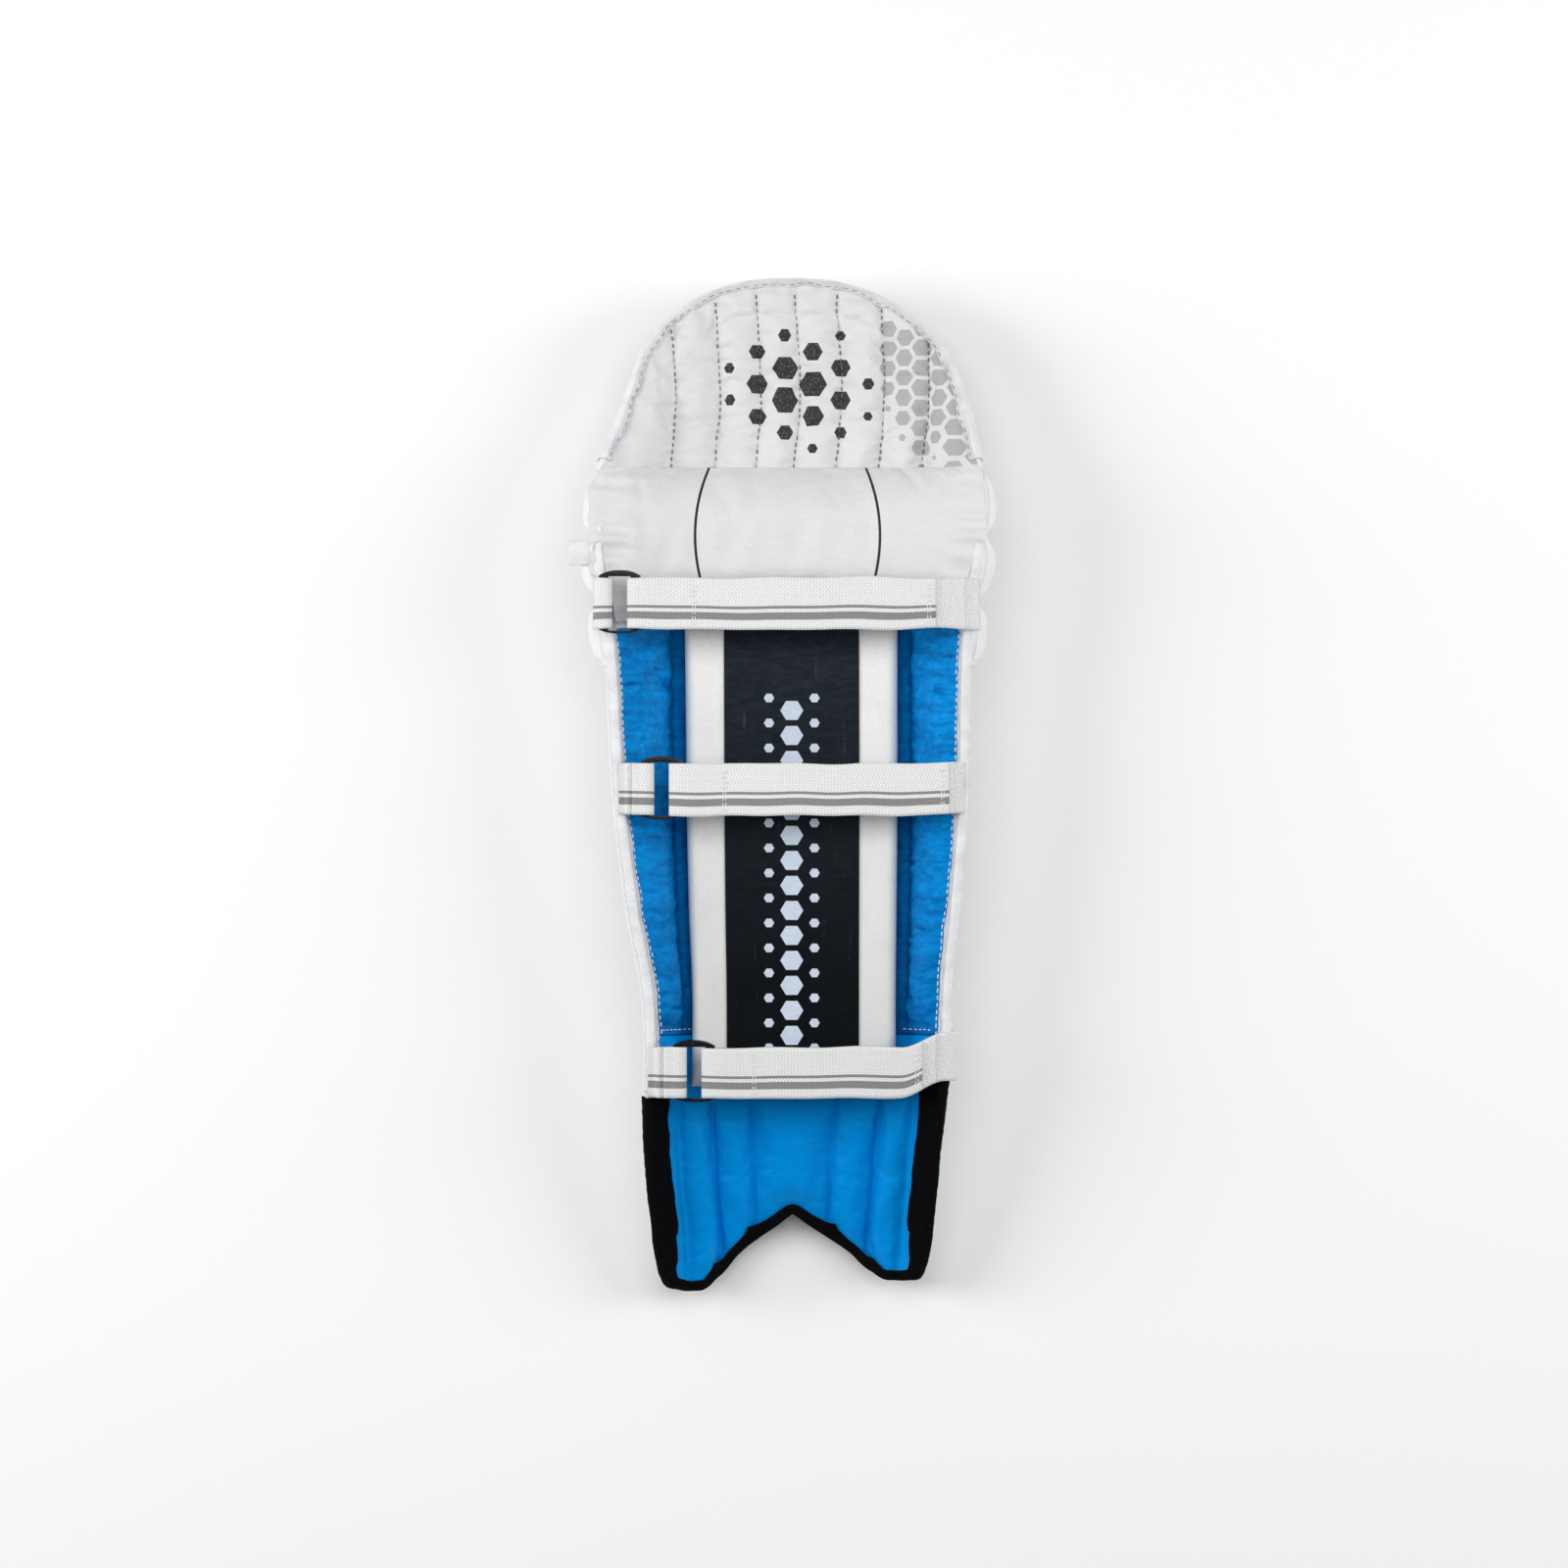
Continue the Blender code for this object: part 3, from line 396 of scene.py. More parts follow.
def distance_to(line, across, y):
    """Distance from flat places to a line of flat points."""
    line = np.asarray(line, float)
    starts, steps = line[:-1], np.diff(line, axis=0)
    place = np.stack(np.broadcast_arrays(across, y), axis=-1)[..., None, :]
    along = np.clip(((place - starts) * steps).sum(-1) / (steps**2).sum(-1), 0, 1)
    away = place - starts - steps * along[..., None]
    return np.hypot(away[..., 0], away[..., 1]).min(axis=-1)


def toe_end(share):
    """Where the instep ends, under a share of the half width."""
    shares, depths = zip(*TOE_LINE)
    return TOE_Y + END_INSET + NOTCH_DEPTH * (1 - smooth_through(shares, depths, share))


TOE_SHARES = np.linspace(-1, 1, 41)
TOE_OUTLINE = np.stack([across_at(TOE_SHARES, toe_end(TOE_SHARES)), toe_end(TOE_SHARES)], axis=-1)


def thinned(depth, across, y):
    """A depth, thinned towards the bound end of the instep."""
    return EDGE_DEPTH + (depth - EDGE_DEPTH) * rise(distance_to(TOE_OUTLINE, across, y))


def face_depth(across, y, over_seams=False):
    """Depth of the front: canes between seams, slimmer and thin at the two edges."""
    place = abs(share_at(across, y))
    outer = FACE_SEAMS[-2] + (1 - FACE_SEAMS[-2]) / 2
    beyond = np.maximum(0.0, (place - outer) / (1 - outer))
    bulge = 1.0 if over_seams else channel_bulge(place, FACE_SEAMS)
    bulge = np.where(beyond > 0, lens(beyond), bulge)
    slim = 1 - (1 - OUTER_CANE) * np.interp(place, (FACE_SEAMS[-3], outer), (0, 1))
    seam = EDGE_DEPTH + (FACE_SEAM_DEPTH - EDGE_DEPTH) * lens(beyond)
    return thinned(seam + CANE_DEPTH * slim * bulge, across, y)


def lining_depth(across, y, over_seams=False):
    """Depth of the shin lining: level in the middle, with a padded channel down each side."""
    centre = section(y)[1]
    from_middle = across + centre - BOLSTER_MIDDLE_X
    level = LINING_MIDDLE - LINING_SEAM_DEPTH
    place = abs(from_middle) / LINING_SEAM_ACROSS
    middle = LINING_SEAM_DEPTH + level * (1.0 if over_seams else rounded(place, 16))
    side = np.where(from_middle < 0, -1.0, 1.0)
    to_edge = abs(edge(y, side)) + side * (centre - BOLSTER_MIDDLE_X)
    place_out = 2 * (abs(from_middle) - LINING_SEAM_ACROSS) / (to_edge - LINING_SEAM_ACROSS) - 1
    inner = 1.0 if over_seams else rounded(place_out)
    bulge = np.where(place_out > 0, lens(place_out), inner)
    pressed = np.clip((y - KNEE_Y) / (KNEE_HEIGHT - KNEE_BOLSTER_HEIGHT), 0, 1)
    channel = LINING_SEAM_DEPTH + (LINING_PUFF + (level - LINING_PUFF) * pressed) * bulge
    return np.where(place < 1, middle, channel)


def slimmed(depth, across, y, **kind):
    """What a depth function gives, pressed thinner by the tape along the pad's two side edges."""
    pressed = ease(0, EDGE_SLIM_REACH, half_width(across, y) - abs(across))
    return depth(across, y, **kind) * (EDGE_SLIM + (1 - EDGE_SLIM) * pressed)


def instep_depth(across, y, over_seams=False):
    """Depth of the instep lining: level behind the bolster, padded channels below it."""
    share = share_at(across, y)
    level = EDGE_DEPTH + (LINING_MIDDLE - EDGE_DEPTH) * rounded(share, 8)
    last = (INSTEP_SEAMS[-3] + INSTEP_SEAMS[-2]) / 2
    if over_seams:
        bulge = rounded(np.maximum(0.0, (abs(share) - last) / (INSTEP_SEAMS[-2] - last)))
    else:
        bulge = channel_bulge(share, INSTEP_SEAMS)
    bulge = np.where(abs(share) > INSTEP_SEAMS[-2], 0.0, bulge)
    swell = np.interp((ANKLE_Y - y) / INSTEP_LENGTH, (INSTEP_FLAT, 2 * INSTEP_FLAT), (0, 1))
    depth = level * (1 - swell) + (LINING_SEAM_DEPTH + INSTEP_PUFF * bulge) * swell
    return thinned(depth, across, y)


def top_hat_place(share, up):
    """Flat places on the top hat: straight up between its seams, tapering outside them."""

    def reach(at):
        straight = np.minimum(abs(share), TOP_HAT_STRAIGHT)
        room = 1 - TOP_HAT_TAPER * at**0.85 - TOP_HAT_STRAIGHT
        return straight + (abs(share) - straight) * room / (1 - TOP_HAT_STRAIGHT)

    arch = 1 - TOP_HAT_DROP * (reach(1.0) / (1 - TOP_HAT_TAPER)) ** 2.6
    height = (TOP_HAT_HEIGHT - END_INSET - LAYER_GAP) * arch * up
    return np.copysign(reach(up) * TOP_HAT_HALF, share), KNEE_TOP_Y + LAYER_GAP + height


def top_hat_outline():
    """Flat points round the top hat's free edge, from its lower right corner to its lower left."""
    sides = np.linspace(0.0, 0.98, 40)
    arch = np.linspace(1.0, -1.0, 140)
    right = np.stack(top_hat_place(1.0, sides), axis=-1)
    over = np.stack(top_hat_place(arch, 1.0), axis=-1)
    left = np.stack(top_hat_place(-1.0, sides[::-1]), axis=-1)
    outline = np.concatenate([right, over, left])
    for _ in range(24):
        outline[1:-1] = (outline[:-2] + 2 * outline[1:-1] + outline[2:]) / 4
    return outline


TOP_HAT_OUTLINE = top_hat_outline()


def top_hat_depth(core, bulge, distance):
    """Depth of a side of the top hat over its core, at a distance in from its bound edge."""
    return EDGE_DEPTH + (core - EDGE_DEPTH + TOP_HAT_PUFF * bulge) * rise(distance)


# Meshes


def waves(x, y, length, seed, stretch=1.0, count=9):
    """Seeded soft unevenness of about -1 to 1. stretch draws it out across the pad."""
    random = np.random.default_rng(seed)
    total = np.zeros(np.broadcast(x, y).shape)
    for _ in range(count):
        angle, phase = random.uniform(0, 2 * math.pi, 2)
        size = length * random.uniform(0.7, 1.5)
        travel = x / stretch * math.cos(angle) + y * math.sin(angle)
        total += np.sin(2 * math.pi * travel / size + phase)
    return total / math.sqrt(count)


def grid_faces(rows, columns, first=0, flip=False):
    """The four corners of each face of a grid of points."""
    index = first + np.arange(rows * columns).reshape(rows, columns)
    quads = np.stack([index[:-1, :-1], index[:-1, 1:], index[1:, 1:], index[1:, :-1]], axis=-1)
    quads = quads.reshape(-1, 4)
    return quads[:, ::-1] if flip else quads


def rim(rows, columns):
    """The points round a grid's edge, in order."""
    index = np.arange(rows * columns).reshape(rows, columns)
    return np.concatenate([index[0], index[1:, -1], index[-1, -2::-1], index[-2:0:-1, 0]])


def new_mesh(name, points, faces, flat=None):
    """A smooth mesh, with its flat places in metres as its UV map."""
    mesh = bpy.data.meshes.new(name)
    mesh.from_pydata(np.asarray(points).tolist(), [], [list(map(int, face)) for face in faces])
    if flat is not None:
        corners = np.empty(len(mesh.loops), dtype=np.int32)
        mesh.loops.foreach_get("vertex_index", corners)
        layer = mesh.uv_layers.new(name="flat")
        layer.data.foreach_set("uv", np.asarray(flat, np.float32)[corners].ravel())
    mesh.shade_smooth()
    return mesh


def add_piece(name, mesh, finish, slot, *nodes, fill=None):
    """A visible piece with its finish, in place of the nodes that it replaces."""
    piece = bpy.data.objects.new(name, mesh)
    mesh.materials.append(finish)
    bpy.context.scene.collection.objects.link(piece)
    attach(piece, "root")
    if nodes:
        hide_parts(*nodes)
    return piece


def slab(name, top, bottom, flat, finish, slot, *nodes, fill=None):
    """A closed piece between two grids of points, whose rows run up the pad."""
    rows, columns = top.shape[:2]
    points = np.concatenate([top.reshape(-1, 3), bottom.reshape(-1, 3)])
    around = rim(rows, columns)
    after = np.roll(around, -1)
    below = rows * columns
    sides = np.stack([around + below, after + below, after, around], axis=-1)
    faces = np.concatenate([
        grid_faces(rows, columns),
        grid_faces(rows, columns, below, flip=True),
        sides,
    ])
    mesh = new_mesh(name, points, faces, np.concatenate([flat.reshape(-1, 2)] * 2))
    return add_piece(name, mesh, finish, slot, *nodes, fill=fill)


def sheet(name, points, flat, thickness, finish, slot, *nodes, even=True):
    """An open grid given a thickness about itself."""
    rows, columns = points.shape[:2]
    faces = grid_faces(rows, columns)
    mesh = new_mesh(name, points.reshape(-1, 3), faces, flat.reshape(-1, 2))
    piece = add_piece(name, mesh, finish, slot, *nodes)
    solidify = piece.modifiers.new("thickness", "SOLIDIFY")
    solidify.thickness = thickness
    solidify.offset = 0.0
    solidify.use_even_offset = even
    return piece


def refine(piece):
    """One level of smoothing."""
    subdivision = piece.modifiers.new("fine", "SUBSURF")
    subdivision.levels = 1
    subdivision.render_levels = 1


def puffed(across, y, out, held, pressure, slack, cap, frames=18):
    """The flat sheet after its padding has swelled it between its sewn places."""
    start = np.stack(np.broadcast_arrays(across, y, out), axis=-1).astype(float)
    rows, columns = start.shape[:2]
    mesh = new_mesh("swelling", start.reshape(-1, 3), grid_faces(rows, columns))
    cover = bpy.data.objects.new("swelling", mesh)
    scene = bpy.context.scene
    scene.collection.objects.link(cover)
    sewn = cover.vertex_groups.new(name="sewn")
    sewn.add(np.flatnonzero(held.ravel()).tolist(), 1.0, "REPLACE")
    cloth = cover.modifiers.new("cloth", "CLOTH")
    settings = cloth.settings
    settings.quality = 5
    settings.mass = 0.05
    settings.tension_stiffness = settings.compression_stiffness = 12
    settings.shear_stiffness = 5
    settings.bending_stiffness = 0.03
    settings.use_pressure = True
    settings.uniform_pressure_force = pressure
    settings.shrink_min = settings.shrink_max = -slack
    settings.vertex_group_mass = "sewn"
    settings.effector_weights.gravity = 0
    cloth.collision_settings.use_collision = False
    cloth.point_cache.frame_start = 1
    cloth.point_cache.frame_end = frames
    for number in range(1, frames + 1):
        scene.frame_set(number)
    swelled = bpy.data.meshes.new_from_object(
        cover.evaluated_get(bpy.context.evaluated_depsgraph_get())
    )
    places = np.empty(len(swelled.vertices) * 3)
    swelled.vertices.foreach_get("co", places)
    bpy.data.objects.remove(cover)
    bpy.data.meshes.remove(mesh)
    bpy.data.meshes.remove(swelled)
    scene.frame_set(1)
    shift = places.reshape(start.shape) - start
    length = np.linalg.norm(shift, axis=-1, keepdims=True)
    return start + shift * np.minimum(1.0, cap / np.maximum(length, 1e-9))


def border(shape):
    """A grid's mask that is on along its edge."""
    held = np.zeros(shape, bool)
    held[[0, -1]] = True
    held[:, [0, -1]] = True
    return held


def near_seam(places, seams):
    """Distance from each place to its nearest seam."""
    return abs(np.asarray(places)[..., None] - np.asarray(seams)).min(axis=-1)


CAPSULE = ((-1.0, 0.3), (-0.8, 0.85), (0.0, 1.0), (0.8, 0.85), (1.0, 0.3))


def stitches(name, lines, finish, slot, length=0.0028, gap=0.0014, width=0.0007, seed=1):
    """Rows of thread stitches along lines of points, as one mesh."""
    random = np.random.default_rng(seed)
    sides = 6
    turn = np.linspace(0, 2 * math.pi, sides, endpoint=False)
    points, faces = [], []
    for line in lines:
        line = np.asarray(line, float)
        travel = travel_along(line)
        for start in np.arange(gap, travel[-1] - length, length + gap):
            ends = [
                np.array([np.interp(at, travel, line[:, k]) for k in range(3)])
                for at in (start, start + length * random.uniform(0.85, 1.05))
            ]
            middle = (ends[0] + ends[1]) / 2 + random.normal(0, width * 0.12, 3)
            run = (ends[1] - ends[0]) / 2
            side = np.cross(run, (0, 0, 1.0))
            side /= np.linalg.norm(side)
            up = np.cross(side, run)
            up /= np.linalg.norm(up)
            first = len(points)
            for along, size in CAPSULE:
                ring = (np.outer(np.cos(turn), side) + np.outer(np.sin(turn), up)) * size * width / 2
                points.extend(middle + run * along + ring)
            for ring in range(len(CAPSULE) - 1):
                at = first + ring * sides
                faces.extend(
                    (at + k, at + (k + 1) % sides, at + sides + (k + 1) % sides, at + sides + k)
                    for k in range(sides)
                )
            last = first + (len(CAPSULE) - 1) * sides
            faces.append([first + k for k in reversed(range(sides))])
            faces.append([last + k for k in range(sides)])
    mesh = new_mesh(name, points, faces, np.zeros((len(points), 2)))
    return add_piece(name, mesh, finish, slot)


# Finishes


class Finish:
    """A material whose Principled BSDF takes colour, roughness and bump from nodes."""

    def __init__(self, name, **sockets):
        self.material = bpy.data.materials.new(name)
        self.material.use_nodes = True
        self.tree = self.material.node_tree
        self.shader = self.tree.nodes["Principled BSDF"]
        for socket, value in sockets.items():
            self.shader.inputs[socket.replace("_", " ")].default_value = value
        self.flat = self.node("UVMap", uv_map="flat")
        split = self.node("SeparateXYZ", {0: self.flat}, output=None)
        self.across, self.along = split.outputs[0], split.outputs[1]

    def node(self, kind, inputs=None, output=0, **settings):
        made = self.tree.nodes.new("ShaderNode" + kind)
        for key, value in settings.items():
            setattr(made, key, value)
        for key, value in (inputs or {}).items():
            if isinstance(value, bpy.types.NodeSocket):
                self.tree.links.new(value, made.inputs[key])
            else:
                made.inputs[key].default_value = value
        return made if output is None else made.outputs[output]

    def math(self, operation, *values):
        return self.node("Math", dict(enumerate(values)), operation=operation)

    def noise(self, size, across=1.0, along=1.0, detail=3.0, roughness=0.55):
        """Noise of that grain size in metres, drawn out along a direction whose factor is low."""
        place = self.node("Mapping", {"Vector": self.flat, "Scale": (across, along, 1.0)})
        return self.node(
            "TexNoise",
            {"Vector": place, "Scale": 1 / size, "Detail": detail, "Roughness": roughness},
            noise_dimensions="2D",
        )

    def spread(self, value, low, high, to_low=0.0, to_high=1.0):
        """Maps a value from one range to another, and clamps it there."""
        return self.node("MapRange", {0: value, 1: low, 2: high, 3: to_low, 4: to_high})

    def mix(self, share, first, second):
        colours = {
            6: first if isinstance(first, bpy.types.NodeSocket) else (*first, 1.0),
            7: second if isinstance(second, bpy.types.NodeSocket) else (*second, 1.0),
        }
        return self.node("Mix", {0: share, **colours}, output=2, data_type="RGBA")

    def between(self, value, low, high):
        """1 where the value lies between two bounds."""
        above = self.math("GREATER_THAN", value, low)
        return self.math("MULTIPLY", above, self.math("LESS_THAN", value, high))

    def weave(self, across_size, along_size):
        """Raised crossings of a plain weave."""
        over = self.math("SINE", self.math("MULTIPLY", self.across, 2 * math.pi / across_size))
        under = self.math("SINE", self.math("MULTIPLY", self.along, 2 * math.pi / along_size))
        return self.math("MULTIPLY_ADD", self.math("MULTIPLY", over, under), 0.5, 0.5)

    def bump(self, height, distance, under=None):
        inputs = {"Height": height, "Distance": distance, "Strength": 1.0}
        if under is not None:
            inputs["Normal"] = under
        return self.node("Bump", inputs)

    def hexagons(self, pitch, radius):
        """A honeycomb's mask. radius(x, y) gives each hexagon's inner radius at its middle."""
        tall = pitch * 2 / math.sqrt(3)
        masks = []
        for shift_x, shift_y in ((0.0, 0.0), (pitch, tall / 2)):
            places, away = [], []
            grid = ((self.across, 2 * pitch, shift_x), (self.along, tall, shift_y))
            for value, step, shift in grid:
                cell = self.math("DIVIDE", self.math("SUBTRACT", value, shift), step)
                cell = self.math("ROUND", cell)
                middle = self.math("MULTIPLY_ADD", cell, step, shift)
                places.append(middle)
                away.append(self.math("ABSOLUTE", self.math("SUBTRACT", value, middle)))
            slanted = self.math("MULTIPLY", away[0], math.sqrt(3) / 2)
            slanted = self.math("MULTIPLY_ADD", away[1], 0.5, slanted)
            reach = self.math("MAXIMUM", away[1], slanted)
            masks.append(self.math("LESS_THAN", reach, radius(*places)))
        return self.math("MAXIMUM", *masks)

    def done(self, colour=None, roughness=None, normal=None):
        for socket, value in (("Base Color", colour), ("Roughness", roughness), ("Normal", normal)):
            if value is not None:
                self.tree.links.new(value, self.shader.inputs[socket])
        return self.material


def side_print(finish):
    """Grey honeycomb that shrinks away towards the middle and the knee."""

    def radius(x, y):
        from_x = finish.math("SUBTRACT", x, SIDE_PRINT_CORNER[0])
        from_y = finish.math("SUBTRACT", y, SIDE_PRINT_CORNER[1])
        inside = finish.math("MULTIPLY", from_x, SIDE_PRINT_SLANT[0])
        inside = finish.math("MULTIPLY_ADD", from_y, SIDE_PRINT_SLANT[1], inside)
        past_break = finish.math("GREATER_THAN", x, SIDE_PRINT_BREAK_X)
        inside = finish.math("MULTIPLY_ADD", past_break, -0.014, inside)
        size = finish.spread(inside, -0.0015, 0.0105, 0.0, 0.0048)
        from_left = finish.spread(x, SIDE_PRINT_LEFT_X, SIDE_PRINT_LEFT_X + 0.012, 0.0, 0.0048)
        below_top = finish.math("LESS_THAN", y, SIDE_PRINT_TOP_Y)
        return finish.math("MULTIPLY", finish.math("MINIMUM", size, from_left), below_top)

    return finish.hexagons(SIDE_PRINT_PITCH, radius)


def centre_print(finish):
    """A plain cluster of black hexagons that shrink outwards."""

    def radius(x, y):
        from_x = finish.math("SUBTRACT", x, CENTRE_PRINT_MIDDLE[0])
        from_y = finish.math("MULTIPLY", finish.math("SUBTRACT", y, CENTRE_PRINT_MIDDLE[1]), 1.25)
        squares = finish.math("MULTIPLY_ADD", from_x, from_x, finish.math("MULTIPLY", from_y, from_y))
        size = finish.spread(finish.math("SQRT", squares), 0.012, 0.052, 0.0073, 0.0018)
        shown = finish.math("LESS_THAN", squares, 0.047**2)
        return finish.math("MULTIPLY", size, shown)

    return finish.hexagons(CENTRE_PRINT_PITCH, radius)


def white_cloth(name, grey=0.80, printed=False, lined=False):
    """White coated cloth: a soft plain weave with creases and a little dust."""
    finish = Finish(name, Roughness=0.55, Sheen_Weight=0.05, Specular_IOR_Level=0.25)
    dust = finish.noise(0.03, detail=4)
    fine = finish.noise(0.004, across=0.6, along=1.4, detail=5, roughness=0.65)
    dusty = finish.mix(dust, (grey, grey, grey * 1.005), (grey * 0.93, grey * 0.935, grey * 0.94))
    colour = finish.mix(finish.spread(fine, 0.35, 0.75, 0.0, 0.35), dusty, (grey * 0.88,) * 3)
    if printed:
        worn = finish.spread(finish.noise(0.0012, detail=2), 0.25, 0.45, 0.82, 1.0)
        grey_share = finish.math("MULTIPLY", side_print(finish), worn)
        colour = finish.mix(grey_share, colour, HEXAGON_GREY)
        black_share = finish.math("MULTIPLY", centre_print(finish), worn)
        colour = finish.mix(black_share, colour, (0.022, 0.022, 0.024))
    if lined:
        from_middle = finish.math("SUBTRACT", finish.along, BOLSTER_LINE_Y)
        curve = finish.math("MULTIPLY", from_middle, from_middle)
        curve = finish.math("MULTIPLY", curve, BOLSTER_LINE_CURVE)
        sideways = finish.math("ABSOLUTE", finish.across)
        from_line = finish.math("ADD", finish.math("SUBTRACT", sideways, BOLSTER_LINE_X), curve)
        share = finish.math("LESS_THAN", finish.math("ABSOLUTE", from_line), BOLSTER_LINE_WIDTH / 2)
        colour = finish.mix(share, colour, (0.015, 0.016, 0.018))
    crease = finish.bump(fine, 0.0005)
    grain = finish.bump(finish.weave(0.0009, 0.0009), 0.00006, crease)
    roughness = finish.spread(dust, 0.2, 0.8, 0.48, 0.66)
    return finish.done(colour, roughness, grain)


def white_tape():
    """Woven edge tape, with ribs across it."""
    finish = Finish("white_tape_weave", Roughness=0.8, Sheen_Weight=0.2, Specular_IOR_Level=0.2)
    dust = finish.noise(0.012, detail=4)
    colour = finish.mix(finish.spread(dust, 0.3, 0.8), (0.80, 0.81, 0.82), (0.64, 0.65, 0.67))
    ribs = finish.bump(finish.weave(0.0016, 0.0011), 0.00025)
    return finish.done(colour, None, finish.bump(finish.noise(0.003), 0.0004, ribs))


def blue_lining(name, bright, deep, creased, shin=False):
    """Shiny close-woven blue cloth, with fine creases running across the pad, and painted light and
    shade streaks along them mixed with random mottle. On the shin its map measures from the bolster:
    painted shade darkens the dip beside that and the lower shin, and it is white behind the knee."""
    finish = Finish(
        name, Roughness=0.42, Specular_IOR_Level=0.4, Specular_Tint=(0.05, 0.5, 1.0, 1.0),
    )
    crease = finish.noise(0.010, across=0.22, along=1.6, detail=4, roughness=0.6)
    mottle = finish.noise(0.005, across=0.8, along=1.1, detail=5, roughness=0.7)
    # Painted light and shade streaks along the creases, with random mottle, move the colour between bright
    # and deep.
    mottle_and_painted_shade = finish.math("MULTIPLY", finish.math("ADD", mottle, crease), 0.5)
    mottle_and_painted_shade = finish.spread(mottle_and_painted_shade, 0.4, 0.7)
    colour = finish.mix(finish.math("MULTIPLY", mottle_and_painted_shade, creased), bright, deep)
    if shin:
        # Painted shade: darker inside the lining's seams, in the dip beside the bolster.
        from_middle = finish.math("ABSOLUTE", finish.across)
        shaded_dip = (LINING_SEAM_ACROSS - 0.003, LINING_SEAM_ACROSS + 0.004)
        colour = finish.mix(finish.spread(from_middle, *shaded_dip, 0.7, 0.0), colour, deep)
        # Painted shade: darker towards the ankle.
        low = finish.spread(finish.along, ANKLE_Y, 0.0, 0.45, 0.0)
        colour = finish.mix(low, colour, deep)
        white = finish.math("GREATER_THAN", finish.along, WHITE_LINING_Y)
        colour = finish.mix(white, colour, (0.74, 0.74, 0.745))
    threads = finish.weave(0.0007, 0.0007)
    normal = finish.bump(threads, 0.00003, finish.bump(crease, 0.0011 * creased))
    normal = finish.bump(mottle, 0.0005 * creased, normal)
    return finish.done(colour, finish.spread(mottle, 0.3, 0.7, 0.34, 0.48), normal)


def cream_fabric():
    """Brushed off-white cloth, with small soft tufts."""
    finish = Finish("cream_brushed", Roughness=0.9, Specular_IOR_Level=0.1, Sheen_Weight=0.1)
    nap = finish.noise(0.0022, detail=5, roughness=0.7)
    soil = finish.noise(0.03, detail=3)
    colour = finish.mix(finish.spread(nap, 0.35, 0.7), (0.83, 0.82, 0.80), (0.76, 0.75, 0.73))
    # Painted shade darkens it towards the bottom; random soil patches are added to that.
    low = finish.spread(finish.along, -0.15, 0.06, 0.75, 0.0)
    patches = finish.spread(soil, 0.5, 0.85, 0.0, 0.2)
    soil_and_painted_shade = finish.math("MULTIPLY_ADD", low, 0.9, patches)
    colour = finish.mix(soil_and_painted_shade, colour, (0.56, 0.555, 0.545))
    return finish.done(colour, None, finish.bump(nap, 0.0004))


def black_panel():
    """Black coated cloth, scuffed, with a plain pale honeycomb strip printed down it."""
    finish = Finish("black_panel_coat", Roughness=0.5, Specular_IOR_Level=0.05)
    scuff = finish.noise(0.006, across=0.5, along=1.5, detail=6, roughness=0.75)
    scratch = finish.spread(finish.noise(0.02, across=3.5, along=0.35, detail=5, roughness=0.8), 0.66, 0.74)
    colour = finish.mix(finish.spread(scuff, 0.4, 0.75), (0.009, 0.013, 0.018), (0.019, 0.026, 0.034))
    # Painted shade: darker towards the bottom.
    low = finish.spread(finish.along, -0.12, 0.07, 0.9, 0.0)
    colour = finish.mix(low, colour, (0.001, 0.002, 0.003))
    colour = finish.mix(finish.math("MULTIPLY", scratch, 0.25), colour, (0.12, 0.13, 0.14))

    def radius(x, y):
        size = finish.math("MULTIPLY_ADD", finish.math("ABSOLUTE", x), -0.24, 0.0056)
        size = finish.math("MAXIMUM", size, 0.0)
        return finish.math("MULTIPLY", size, finish.math("LESS_THAN", y, PANEL_PRINT_TOP_Y))

    worn = finish.spread(scuff, 0.3, 0.6, 1.0, 0.88)
    share = finish.math("MULTIPLY", finish.hexagons(PANEL_PRINT_PITCH, radius), worn)
    colour = finish.mix(share, colour, (0.56, 0.63, 0.73))
    grain = finish.bump(finish.noise(0.0011, detail=2), 0.00012)
    return finish.done(colour, finish.spread(scuff, 0.3, 0.7, 0.42, 0.62), grain)


def elastic():
    """Herringbone-woven elastic with two grey stripes. Its map runs along and across it."""
    finish = Finish("elastic_weave", Roughness=0.85, Specular_IOR_Level=0.15, Sheen_Weight=0.15)
    down = finish.math("DIVIDE", finish.math("SUBTRACT", STRAP_WIDTH / 2, finish.along), STRAP_WIDTH)
    zigzag = finish.math("PINGPONG", finish.along, 0.0024)
    slant = finish.math("ADD", finish.across, finish.math("MULTIPLY", zigzag, 1.2))
    twill = finish.math("SINE", finish.math("MULTIPLY", slant, 2 * math.pi / 0.0019))
    rib = finish.math("SINE", finish.math("MULTIPLY", finish.along, 2 * math.pi / 0.0012))
    threads = finish.math("MULTIPLY_ADD", finish.math("MULTIPLY_ADD", rib, 0.4, twill), 0.36, 0.5)
    colour = finish.mix(finish.spread(threads, 0.1, 0.7), (0.58, 0.58, 0.575), (0.96, 0.96, 0.95))
    grey = finish.mix(finish.spread(threads, 0.0, 1.0), (0.20, 0.195, 0.19), (0.33, 0.325, 0.32))
    for low, high in STRIPES:
        colour = finish.mix(finish.between(down, low, high), colour, grey)
    return finish.done(colour, None, finish.bump(threads, 0.00045))


def grained(name, noise, span, first, second, bump=None, rough=None, **sockets):
    """A finish whose colour, and its bump or roughness if given, follow one fine noise."""
    finish = Finish(name, **sockets)
    grain = finish.noise(**noise)
    colour = finish.mix(finish.spread(grain, *span), first, second)
    roughness = finish.spread(grain, *rough) if rough else None
    return finish.done(colour, roughness, finish.bump(grain, bump) if bump else None)


def thread(name, colour):
    dark = tuple(0.75 * part for part in colour)
    noise = {"size": 0.001, "detail": 2}
    return grained(name, noise, (0.0, 1.0), colour, dark, Roughness=0.7, Specular_IOR_Level=0.25)


